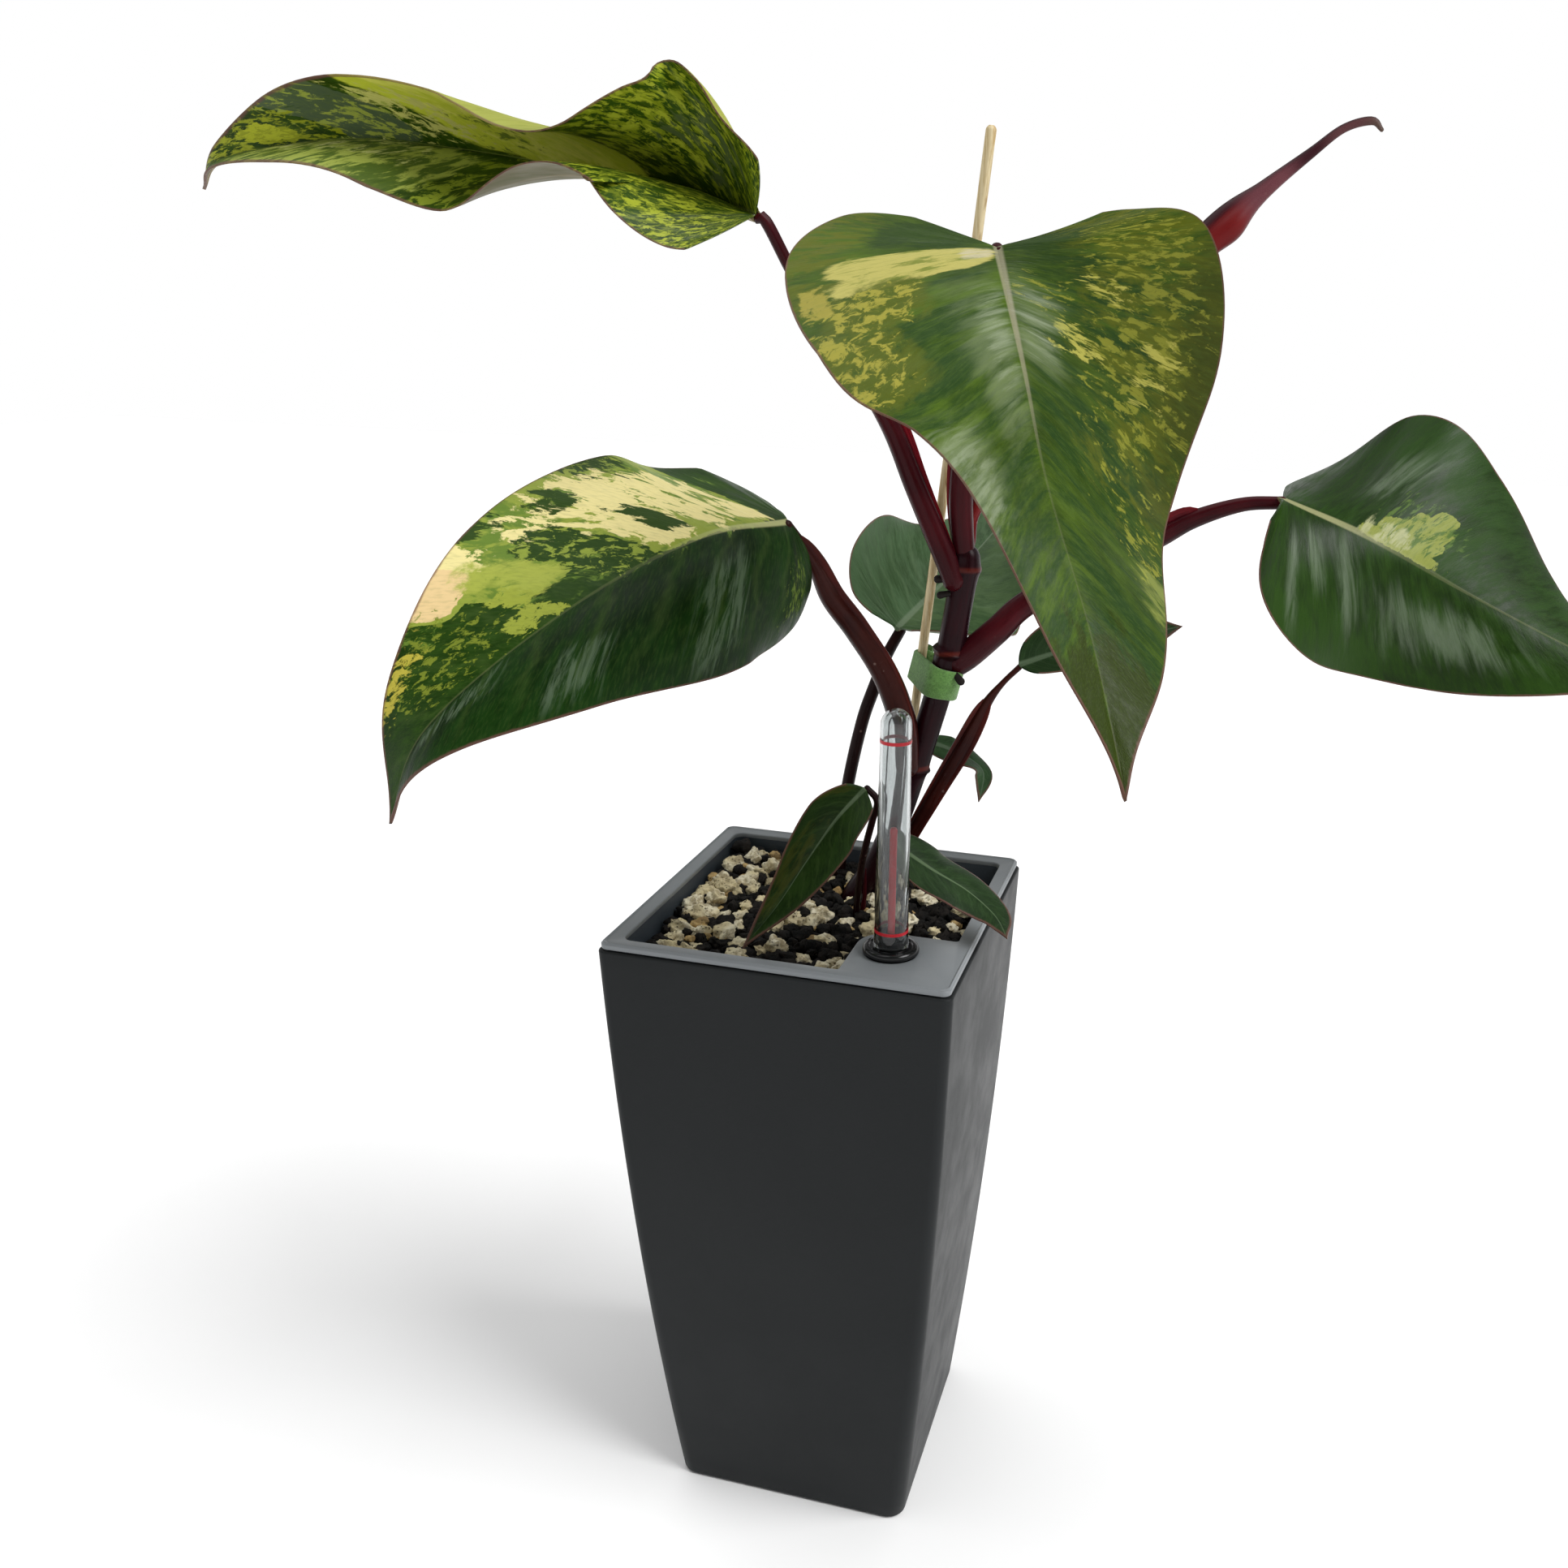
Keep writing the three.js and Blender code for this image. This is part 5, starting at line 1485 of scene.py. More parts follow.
    def make(self, skins: "StalkSkins") -> None:
        """Builds and dresses the leaf.

        Args:
            skins: The stalks' materials.
        """
        faces = [self.finish.face(self.name), self.finish.underside(self.name)]
        blade = self.blade().build(f"leaf_blade_{self.name}", faces, 60)
        settle(blade, [f"blade_{self.name}"])
        stalk = self.stalk().build(f"leaf_stalk_{self.name}",
                                   [skins.of(self.name), skins.edge_of(self.name)], 50)
        settle(stalk, [f"petiole_{self.name}"])


class StalkSkins:
    """The materials of stem, stalks, sheaths and new leaf."""

    def __init__(self) -> None:
        """Makes each material once."""
        self.stem = StalkFinish("stem skin", "0E0307", "19060C", "300A12", rings=STEM_NODES).make()
        self.dark = StalkFinish("dark stalk", "100608", "1C0B0D", "2C100F").make()
        self.maroon = StalkFinish("maroon stalk", "24060B", "360910", "4C0E16").make()
        self.brown = StalkFinish("brown stalk", "1A0607", "2C0C08", "40140B").make()
        self.sheath = StalkFinish("sheath edge", "42060F", "620A16", "86121E").make()
        self.dull = StalkFinish("brown sheath edge", "2A0A0A", "44120E", "5C1E14").make()
        self.bud = StalkFinish("root bud", "0E0B0B", "1C1716", "3A322F", roughness=0.6).make()
        self.spear = StalkFinish("new leaf roll", "260A12", "3C0E16", "701A1A", flush=0.85, stops=(
            (0.98, "64383E"), (1.13, "34141B"), (1.23, "583638"), (1.34, "5A4A42"))).make()

    def of(self, leaf: str) -> Material:
        """The material of one leaf's stalk."""
        kinds = {"lower_left": self.brown, "upper_left": self.maroon, "front": self.maroon,
                 "right": self.maroon, "small_right": self.brown}
        return kinds.get(leaf, self.dark)

    def edge_of(self, leaf: str) -> Material:
        """The material of the free edges of one leaf's sheath."""
        return self.dull if self.of(leaf) is self.brown else self.sheath


def bowed(start: Point, end: Point, bow: Point) -> tuple[Point, Point, Point]:
    """A path from start to end whose middle is shifted."""
    return start, tuple((np.array(start) + np.array(end)) / 2 + np.array(bow)), end


@dataclass
class Stem:
    """The climbing stem with its nodes, root buds and young sprouts."""

    ring: float = 0.09
    ring_spread: float = 0.8
    buds: tuple[tuple[Point, Point, float], ...] = (
        ((29, 19, 261.5), (23.6, 17.6, 262.3), 0.9),
        ((29, 18.5, 258.5), (24.6, 16.6, 258.6), 0.8),
        ((27, 19, 239.5), (31.2, 15.9, 237.4), 0.9),
    )
    sprouts: tuple[tuple[Point, Point, float], ...] = (
        ((6, 12, 166), (8.6, 9.5, 186), 0.8),
        ((9, 14, 166), (12.2, 12, 183), 0.7),
    )

    def make(self, skins: StalkSkins) -> None:
        """Builds and dresses the stem.

        Args:
            skins: The stalks' materials.
        """
        curve = Curve(STEM)

        def section(share: float, angles: Array) -> Array:
            """Thin raised rings at the nodes, and an uneven skin.

            Args:
                share: The share of the length.
                angles: The angles round it.

            Returns:
                The scale of the radius at each angle.
            """
            height = float(curve.place(np.array([share]))[0][0, 2])
            ring = sum(math.exp(-(((height - node) / self.ring_spread) ** 2)) for node in STEM_NODES)
            return 1 + self.ring * ring + 0.012 * np.cos(5 * angles + share * 9)

        shape = tube(STEM, STEM_RADII, (0, -1, 0.1), 36, 220, section)
        for start, end, radius in self.buds:
            radii = (radius * 0.8, radius * 0.9, radius * 1.15)
            shape.join(tube(bowed(start, end, (0, 0, 0.4)), radii, (0, -1, 0.3), 14, 14), 1)
        settle(shape.build("climbing_stem", [skins.stem, skins.bud], 50), ["main_stem"])
        tips = []
        for start, end, radius in self.sprouts:
            radii = (radius, radius * 0.8, 0.15)
            tips.append(tube(bowed(start, end, (0.6, 0, 0)), radii, (0, -1, 0.1), 12, 20))
        tips[0].join(tips[1])
        settle(tips[0].build("young_sprouts", [skins.maroon], 60))


@dataclass
class NewLeaf:
    """The rolled new leaf."""

    path: tuple[Point, ...] = (
        (30, 23, 270.5), (31.5, 24.5, 280), (44.3, 32.1, 298.9), (62.6, 43.9, 321), (80, 54.8, 341.6),
        (90.4, 59.6, 351), (99.8, 64.6, 358.8), (106.6, 67.7, 364.2), (112.8, 69.1, 365.9), (115.4, 69, 364),
    )
    radii: Values = (1.7, 1.9, 2.3, 3.1, 3.7, 2.1, 1.25, 1, 0.95, 0.5)
    flatness: float = 0.3
    seam_depth: float = 0.09
    seam_width: float = 0.22
    swelling: float = 0.45
    swelling_at: float = 0.693
    swelling_reach: float = 0.042

    def make(self, skins: StalkSkins) -> None:
        """Builds and dresses the new leaf.

        Args:
            skins: The stalks' materials.
        """

        def section(share: float, angles: Array) -> Array:
            """A flattened roll with a seam that winds round it and a swelling on its lower side.

            Args:
                share: The share of the length.
                angles: The angles round it.

            Returns:
                The scale of the radius at each angle.
            """
            flat = 1 - self.flatness * np.sin(angles - 0.9) ** 2 * smoothstep(0.1, 0.4, np.array(share))
            seam = np.exp(-((np.angle(np.exp(1j * (angles - 0.5 - 2.2 * share))) / self.seam_width) ** 2))
            side = np.maximum(np.cos(angles - 0.785), 0) ** 1.5
            off = (share - self.swelling_at) / self.swelling_reach
            return flat * (1 - self.seam_depth * seam) + self.swelling * side * math.exp(-(off**2))

        shape = tube(self.path, self.radii, (0.3, -0.9, -0.3), 32, 200, section)
        settle(shape.build("rolled_new_leaf", [skins.spear], 50), ["new_leaf_spear"])


# The planter

@dataclass
class Planter:
    """The tall square outer pot."""

    levels: int = 40
    edge: float = 1.2
    lip: float = 0.5

    def half(self, z: float) -> float:
        """Half the pot's width at a height."""
        t = z / POT_HEIGHT
        return POT_FOOT_HALF + (POT_TOP_HALF - POT_FOOT_HALF) * t * (1 + POT_BULGE * (1 - t))

    def corner(self, z: float) -> float:
        """The corners' radius at a height."""
        return POT_CORNER * (2 - z / SHELL_TOP)

    def make(self, plastic: Material) -> None:
        """Builds and dresses the pot.

        Args:
            plastic: Its material.
        """
        rings = []
        for a in np.linspace(0, math.pi / 2, 5):
            z = self.edge * (1 - math.cos(a))
            rings.append(square_ring(self.half(z) - self.edge * (1 - math.sin(a)), self.corner(z), z))
        top = SHELL_TOP - self.lip
        for z in np.linspace(self.edge, top, self.levels + 1)[1:]:
            rings.append(square_ring(self.half(z), self.corner(z), z))
        width = self.half(SHELL_TOP)
        for a in np.linspace(0, math.pi / 2, 4)[1:]:
            half = width - self.lip * (1 - math.cos(a))
            rings.append(square_ring(half, POT_CORNER, top + self.lip * math.sin(a)))
        rings.append(square_ring(width - POT_WALL + self.lip, POT_CORNER - 0.3, SHELL_TOP))
        for z in np.linspace(top, POT_FLOOR, self.levels + 1):
            rings.append(square_ring(self.half(z) - POT_WALL, max(self.corner(z) - 0.5, 1.2), z))
        settle(loft(rings).build("outer_pot", [plastic], 40), ["planter_shell"])


@dataclass
class Liner:
    """The planting liner: a rim plate with a shelf, and the basin below it."""

    basin_skin: float = 2.0
    basin_levels: int = 8
    edge: float = 0.35
    hole: float = 6.4
    small_corner: float = 0.8
    rim_corner: float = POT_CORNER - 0.4
    lip_width: float = 0.9

    def half(self, z: float) -> float:
        """Half the basin's outer width at a height."""
        t = (z - LINER_FLOOR) / (RIM_BOTTOM - LINER_FLOOR)
        return LINER_FOOT_HALF + (LINER_TOP_HALF - LINER_FOOT_HALF) * t

    def outline(self, half: float, grow: float, z: float, steps: int = 10) -> Array:
        """The basin's L-shaped outline, anticlockwise from above.

        Args:
            half: Half the square's side.
            grow: How far the two sides by the shelf are moved outward.
            z: Its height.
            steps: Steps round the corner by the shelf.

        Returns:
            The outline's points.
        """
        x, y = SHELF_EDGE_X + grow, SHELF_EDGE_Y - grow
        radius = SHELF_CORNER - grow
        small = self.small_corner
        far = half - POT_CORNER
        arcs = (
            (half - small, y + small, small, -90, 0, 4), (far, far, POT_CORNER, 0, 90, 6),
            (-far, far, POT_CORNER, 90, 180, 6), (-far, -far, POT_CORNER, 180, 270, 6),
            (x - small, -half + small, small, -90, 0, 4), (x + radius, y - radius, radius, 180, 90, steps),
        )
        points = []
        for cx, cy, r, first, last, count in arcs:
            for a in np.radians(np.linspace(first, last, count + 1)):
                points.append((cx + r * math.cos(a), cy + r * math.sin(a), z))
        return np.array(points)

    def plate(self) -> Shape:
        """The rim plate, with its L-shaped opening and the gauge's hole.

        Returns:
            The plate.
        """
        curve = bpy.data.curves.new("rim_outline", "CURVE")
        curve.dimensions = "2D"
        curve.fill_mode = "BOTH"
        a = np.linspace(0, 2 * math.pi, 40, endpoint=False)
        hole = np.stack([GAUGE_AT[0] + self.hole * np.cos(a), GAUGE_AT[1] + self.hole * np.sin(a)], axis=1)
        opening = self.outline(self.half(RIM_BOTTOM) - LINER_WALL, 0, 0)
        for ring in (square_ring(RIM_OUTER, self.rim_corner, 0), opening, hole):
            spline = curve.splines.new("POLY")
            spline.points.add(len(ring) - 1)
            for point, place in zip(spline.points, ring):
                point.co = (place[0], place[1], 0, 1)
            spline.use_cyclic_u = True
        curve.bevel_depth = self.edge
        curve.bevel_resolution = 2
        curve.offset = -self.edge
        curve.extrude = (RIM_TOP - RIM_BOTTOM) / 2 - self.edge
        holder = bpy.data.objects.new("rim_outline", curve)
        bpy.context.scene.collection.objects.link(holder)
        mesh = bpy.data.meshes.new_from_object(holder)
        bpy.data.objects.remove(holder)
        points = np.zeros(len(mesh.vertices) * 3)
        mesh.vertices.foreach_get("co", points)
        points = points.reshape(-1, 3) + np.array([0, 0, (RIM_TOP + RIM_BOTTOM) / 2])
        faces = [tuple(p.vertices) for p in mesh.polygons]
        bpy.data.meshes.remove(mesh)
        return weld(Shape(points, faces))

    def basin(self) -> Shape:
        """The basin that holds the substrate, closed below.

        Returns:
            The basin.
        """
        high = RIM_BOTTOM + 0.2
        steps = self.basin_levels + 1
        outer = [self.outline(self.half(z), self.basin_skin, z)
                 for z in np.linspace(LINER_FLOOR, high, steps)]
        inner = [self.outline(self.half(z) - LINER_WALL, 0, z)
                 for z in np.linspace(high, LINER_FLOOR + self.basin_skin, steps)]
        return loft([*outer, *inner])

    def lip(self) -> Shape:
        """The thin raised edge round the rim plate.

        Returns:
            The edge.
        """
        outer = RIM_OUTER - 0.15
        low = RIM_TOP - 0.3
        profile = ((0, 0), (0.12, 0.45), (0.4, 0.65), (0.7, 0.45), (self.lip_width, 0.28),
                   (self.lip_width, -0.2), (0, -0.2))
        return closed_loft([square_ring(outer - inset, self.rim_corner, low + rise)
                            for inset, rise in profile])

    def make(self, rim: Material, wall: Material) -> None:
        """Builds and dresses the liner.

        Args:
            rim: The rim's material.
            wall: The basin's material, a darker copy of the rim's plastic: painted shade inside the pot.
        """
        # The basin takes the darker plastic: painted shade inside the pot.
        parts = (("rim_plate", self.plate(), rim), ("rim_edge", self.lip(), rim),
                 ("basin", self.basin(), wall))
        for name, shape, material in parts:
            settle(shape.build(f"liner_{name}", [material], 40), ["planting_liner"])


@dataclass
class WaterGauge:
    """The gauge in the liner's shelf: foot, clear tube, printed rings, rod and float."""

    collar_radius: float = 7.0
    collar_top: float = 182.0
    pipe_radius: float = 6.0
    pipe_bore: float = 5.2
    pipe_bottom: float = 4.0
    neck_radius: float = 3.05
    neck_top: float = 185.5
    rod_bore: float = 1.5
    tube_foot: float = 4.15
    tube_top: float = 3.65
    tube_skin: float = 0.75
    tube_flare: float = 0.25
    tube_sides: int = 56
    top: float = 241.0
    rod_radius: float = 0.9
    rod_top: float = 212.4
    float_radius: float = 4.6
    float_bottom: float = 34.0
    float_top: float = 60.0
    ring_places: Pair = (186.2, 233.6)
    ring_height: float = 0.8

    def foot(self) -> Shape:
        """The black collar with its pipe and neck.

        Returns:
            The foot.
        """
        c, n, top = self.collar_radius, self.neck_radius, self.collar_top
        low, deep = RIM_TOP + 0.3, RIM_TOP - 6
        profile = [
            (self.pipe_bore, self.pipe_bottom), (self.pipe_radius, self.pipe_bottom), (self.pipe_radius, low),
            (c - 0.3, low), (c, low + 0.3), (c, top - 0.9), (c - 0.25, top - 0.3), (c - 0.7, top),
            (c - 1.5, top), (c - 1.8, top - 0.35), (self.tube_foot + 0.15, top - 0.35),
            (self.tube_foot - 0.2, top - 0.05),
            (n, top), (n, self.neck_top - 0.3), (n - 0.3, self.neck_top), (self.rod_bore, self.neck_top),
            (self.rod_bore, deep), (self.pipe_bore, deep),
        ]
        return lathe([*profile, profile[0]], GAUGE_AT)

    def clear(self) -> Shape:
        """The clear tube with its round top and flared foot.

        Returns:
            The tube.
        """
        bottom = self.collar_top + 0.3
        flared = self.tube_foot + self.tube_flare
        centre = self.top - self.tube_top

        def dome(radius: float) -> list[Pair]:
            """The round top, from its side to the axis."""
            arc = [(radius * math.cos(a), centre + radius * math.sin(a))
                   for a in np.linspace(0, math.pi / 2, 11)]
            return [*arc[:-1], (0.0, centre + radius)]

        outside = [(flared, bottom), (flared, bottom + 0.8), (self.tube_foot, bottom + 2.2),
                   *dome(self.tube_top)]
        inside = [*reversed(dome(self.tube_top - self.tube_skin)), (self.tube_foot - self.tube_skin, bottom)]
        return lathe([*outside, *inside, outside[0]], GAUGE_AT, self.tube_sides)

    def print_ring(self, z: float) -> Shape:
        """One printed ring on the tube.

        Args:
            z: The height of its middle.

        Returns:
            The ring.
        """
        share = (z - self.collar_top) / (self.top - self.tube_top - self.collar_top)
        radius = self.tube_foot + (self.tube_top - self.tube_foot) * share
        near, far = radius - 0.05, radius + 0.06
        low, high = z - self.ring_height / 2, z + self.ring_height / 2
        return lathe([(near, low), (far, low), (far, high), (near, high), (near, low)], GAUGE_AT,
                     self.tube_sides)

    def rod(self) -> Shape:
        """The red rod that shows the level.

        Returns:
            The rod.
        """
        r, top = self.rod_radius, self.rod_top
        low = self.float_top + 0.3
        profile = ((0, low), (r * 0.8, low), (r, low + 0.3), (r, top - 0.5), (r * 0.7, top - 0.1), (0, top))
        return lathe(profile, GAUGE_AT, 24)

    def floater(self) -> Shape:
        """The float under the rod, with a groove round it.

        Returns:
            The float.
        """
        r = self.float_radius
        low, high = self.float_bottom, self.float_top
        return lathe([(0, low), (r - 0.8, low), (r, low + 0.8), (r, low + 8), (r - 0.3, low + 8.6),
                      (r, low + 9.2), (r, high - 0.8), (r - 0.8, high), (1.6, high), (0, high)], GAUGE_AT, 36)

    def make(self, black: Material, clear: Material, red: Material, bright_red: Material) -> None:
        """Builds and dresses the gauge.

        Args:
            black: The foot's material.
            clear: The tube's material.
            red: The material of the printed rings.
            bright_red: The material of rod and float.
        """
        settle(self.foot().build("gauge_foot", [black], 40), ["water_gauge_foot"])
        settle(self.clear().build("gauge_clear_tube", [clear], 40), ["water_gauge_tube"])
        low, high = (self.print_ring(z) for z in self.ring_places)
        low.join(high)
        settle(low.build("gauge_printed_rings", [red], 40))
        for name, shape in (("rod", self.rod()), ("float", self.floater())):
            piece = shape.build(f"gauge_{name}", [bright_red], 40)
            settle(piece, [f"water_gauge_{name}"], Body.FLOAT)


# What fills the liner

def round_stone(divisions: int) -> tuple[Array, list[tuple[int, ...]]]:
    """A ball of even triangles.

    Args:
        divisions: How often its triangles are divided.

    Returns:
        Its points at radius 1, and its faces.
    """
    far = (1 + math.sqrt(5)) / 2
    corners = ((-1, far, 0), (1, far, 0), (-1, -far, 0), (1, -far, 0), (0, -1, far), (0, 1, far),
               (0, -1, -far), (0, 1, -far), (far, 0, -1), (far, 0, 1), (-far, 0, -1), (-far, 0, 1))
    points = [Vector(corner).normalized() for corner in corners]
    faces = [(0, 11, 5), (0, 5, 1), (0, 1, 7), (0, 7, 10), (0, 10, 11), (1, 5, 9), (5, 11, 4), (11, 10, 2),
             (10, 7, 6), (7, 1, 8), (3, 9, 4), (3, 4, 2), (3, 2, 6), (3, 6, 8), (3, 8, 9), (4, 9, 5),
             (2, 4, 11), (6, 2, 10), (8, 6, 7), (9, 8, 1)]
    for _ in range(divisions):
        middles: dict[tuple[int, int], int] = {}

        def middle(a: int, b: int) -> int:
            """The point halfway between two points, made once.

            Args:
                a: The first point's number.
                b: The second point's number.

            Returns:
                The middle's number.
            """
            key = (min(a, b), max(a, b))
            if key not in middles:
                middles[key] = len(points)
                points.append(((points[a] + points[b]) / 2).normalized())
            return middles[key]

        finer = []
        for a, b, c in faces:
            ab, bc, ca = middle(a, b), middle(b, c), middle(c, a)
            finer += [(a, ab, ca), (b, bc, ab), (c, ca, bc), (ab, bc, ca)]
        faces = finer
    return np.array([tuple(p) for p in points]), faces


@dataclass
class StoneKind:
    """One kind of grain in the top layer, how much of it gathers on the left, and how close it may lie."""

    name: str
    count: int
    size: Pair
    lift: Pair
    rough: float
    divisions: int
    facets: int
    gather: float
    closeness: float


@dataclass
class Substrate:
    """The bed of mineral grains, with the loose top layer."""

    seed: int = 12
    bed_depth: float = 1.5
    kinds: tuple[StoneKind, ...] = (
        StoneKind("pumice", 88, (1.8, 3.9), (-0.3, 1.6), 0.5, 3, 6, 0.75, 0.82),
        StoneKind("lava", 330, (1.5, 3.1), (-0.4, 1.5), 0.5, 2, 4, -0.1, 0.62),
        StoneKind("tan_stones", 46, (1.3, 2.6), (-0.2, 1.4), 0.2, 3, 3, 0.3, 0.5),
    )
    # Place and radius of what stands in the bed
    stems: tuple[Point, ...] = ((0.5, 20, 3.8), (-6, 32, 2.0), (5, 26, 2.0), (6, 8, 1.0), (11.5, 12, 1.0),
                                (4, 35, 0.9), (9.6, 31, 1.3))
    room: float = 39.4
    reach: float = 39.0
    facet_cut: float = 0.85
    lumps: tuple[float, float, float] = (1.3, 3.1, 6.5)
    taken: list[Point] = field(default_factory=list)

    def free(self, x: float, y: float, size: float, closeness: float) -> bool:
        """Whether a grain may lie here.

        Args:
            x: Its place.
            y: Its place.
            size: Its radius.
            closeness: How near to others it may lie, as a part of the sum of their radii.

        Returns:
            True where it is inside the liner, away from stems and not on top of another grain.
        """
        room = self.room - size * 0.8
        if abs(x) > room or abs(y) > room:
            return False
        if x > SHELF_EDGE_X - size * 0.8 and y < SHELF_EDGE_Y + size * 0.8:
            return False
        return all(math.hypot(x - tx, y - ty) > closeness * (size + tr) for tx, ty, tr in self.taken)

    def grain(self, kind: StoneKind, draw: random.Random, size: float, ball: Array) -> Array:
        """One grain about the origin.

        Args:
            kind: Its kind.
            draw: Where its random numbers come from.
            size: Its radius.
            ball: The ball to shape.

        Returns:
            Its points.
        """
        shift = Vector([draw.uniform(-50, 50) for _ in range(3)])
        points = ball.copy()
        for _ in range(kind.facets):
            way = np.array(Vector([draw.gauss(0, 1) for _ in range(3)]).normalized())
            beyond = np.maximum(points @ way - draw.uniform(0.62, 0.85), 0)
            points -= beyond[:, None] * way * self.facet_cut
        for point in points:
            coarse, middle, small = (noise.noise(Vector(point) * scale + shift) for scale in self.lumps)
            point *= 1 + kind.rough * (coarse + 0.55 * middle - 0.5 * max(0.0, small - 0.1))
        stretch = np.array([draw.uniform(0.95, 1.35), draw.uniform(0.8, 1.05), draw.uniform(0.62, 0.85)])
        turn = Euler((draw.uniform(-0.6, 0.6), draw.uniform(-0.6, 0.6), draw.uniform(0, 6.28))).to_matrix()
        return (points * stretch * size) @ np.array(turn).T

    def scatter(self, kind: StoneKind, draw: random.Random) -> Shape:
        """The grains of one kind.

        Args:
            kind: The kind.
            draw: Where the random numbers come from.

        Returns:
            All its grains as one shape.
        """
        ball, faces = round_stone(kind.divisions)
        points = []
        rings: list[tuple[int, ...]] = []
        placed = 0
        for _ in range(kind.count * 60):
            if placed == kind.count:
                break
            size = draw.uniform(*kind.size)
            x, y = (draw.uniform(-self.reach, self.reach) for _ in range(2))
            here = 0.5 - kind.gather * x / (2 * self.reach)
            if draw.random() > here or not self.free(x, y, size, kind.closeness):
                continue
            self.taken.append((x, y, size * 0.95))
            base = placed * len(ball)
            place = np.array([x, y, soil_level(x, y) + draw.uniform(*kind.lift)])
            points.append(self.grain(kind, draw, size, ball) + place)
            rings += [tuple(i + base for i in face) for face in faces]
            placed += 1
        return Shape(np.concatenate(points), rings)

    def bed(self, liner: Liner) -> Shape:
        """The bed below the loose grains.

        Args:
            liner: The liner that it fills.

        Returns:
            The bed.
        """
        gap = 0.3
        rings = [liner.outline(liner.half(z) - LINER_WALL - gap, -gap, z)
                 for z in np.linspace(LINER_FLOOR + liner.basin_skin + gap, SOIL_TOP - self.bed_depth, 5)]
        rings[-1][:, 2] = soil_level(rings[-1][:, 0], rings[-1][:, 1]) - self.bed_depth
        return loft(rings)

    def make(self, liner: Liner, dark: Material, coats: Mapping[str, Material]) -> None:
        """Builds and dresses the substrate.

        Args:
            liner: The liner that it fills.
            dark: The bed's material.
            coats: The material of each kind.
        """
        draw = random.Random(self.seed)
        self.taken.extend(self.stems)
        settle(self.bed(liner).build("substrate_bed", [dark], 40), ["substrate"])
        for kind in self.kinds:
            piece = self.scatter(kind, draw).build(f"substrate_{kind.name}", [coats[kind.name]], 70)
            settle(piece, ["substrate"])


# Stake, tie and wicks

def strap_outline(a: Array, ra: float, b: Array, rb: float, steps: int = 18) -> list[Pair]:
    """The outline of a strap drawn tight round two round rods.

    Args:
        a: The first rod's place.
        ra: Its radius.
        b: The second rod's place.
        rb: Its radius.
        steps: Steps round each rod.

    Returns:
        The outline's points, anticlockwise.
    """
    angle = math.atan2(b[1] - a[1], b[0] - a[0])
    lean = math.acos((ra - rb) / float(np.linalg.norm(b - a)))
    arcs = ((a, ra, lean, 2 * math.pi - lean), (b, rb, -lean, lean))
    points = []
    for centre, radius, first, last in arcs:
        for t in angle + np.linspace(first, last, steps + 1):
            points.append((centre[0] + radius * math.cos(t), centre[1] + radius * math.sin(t)))
    return points


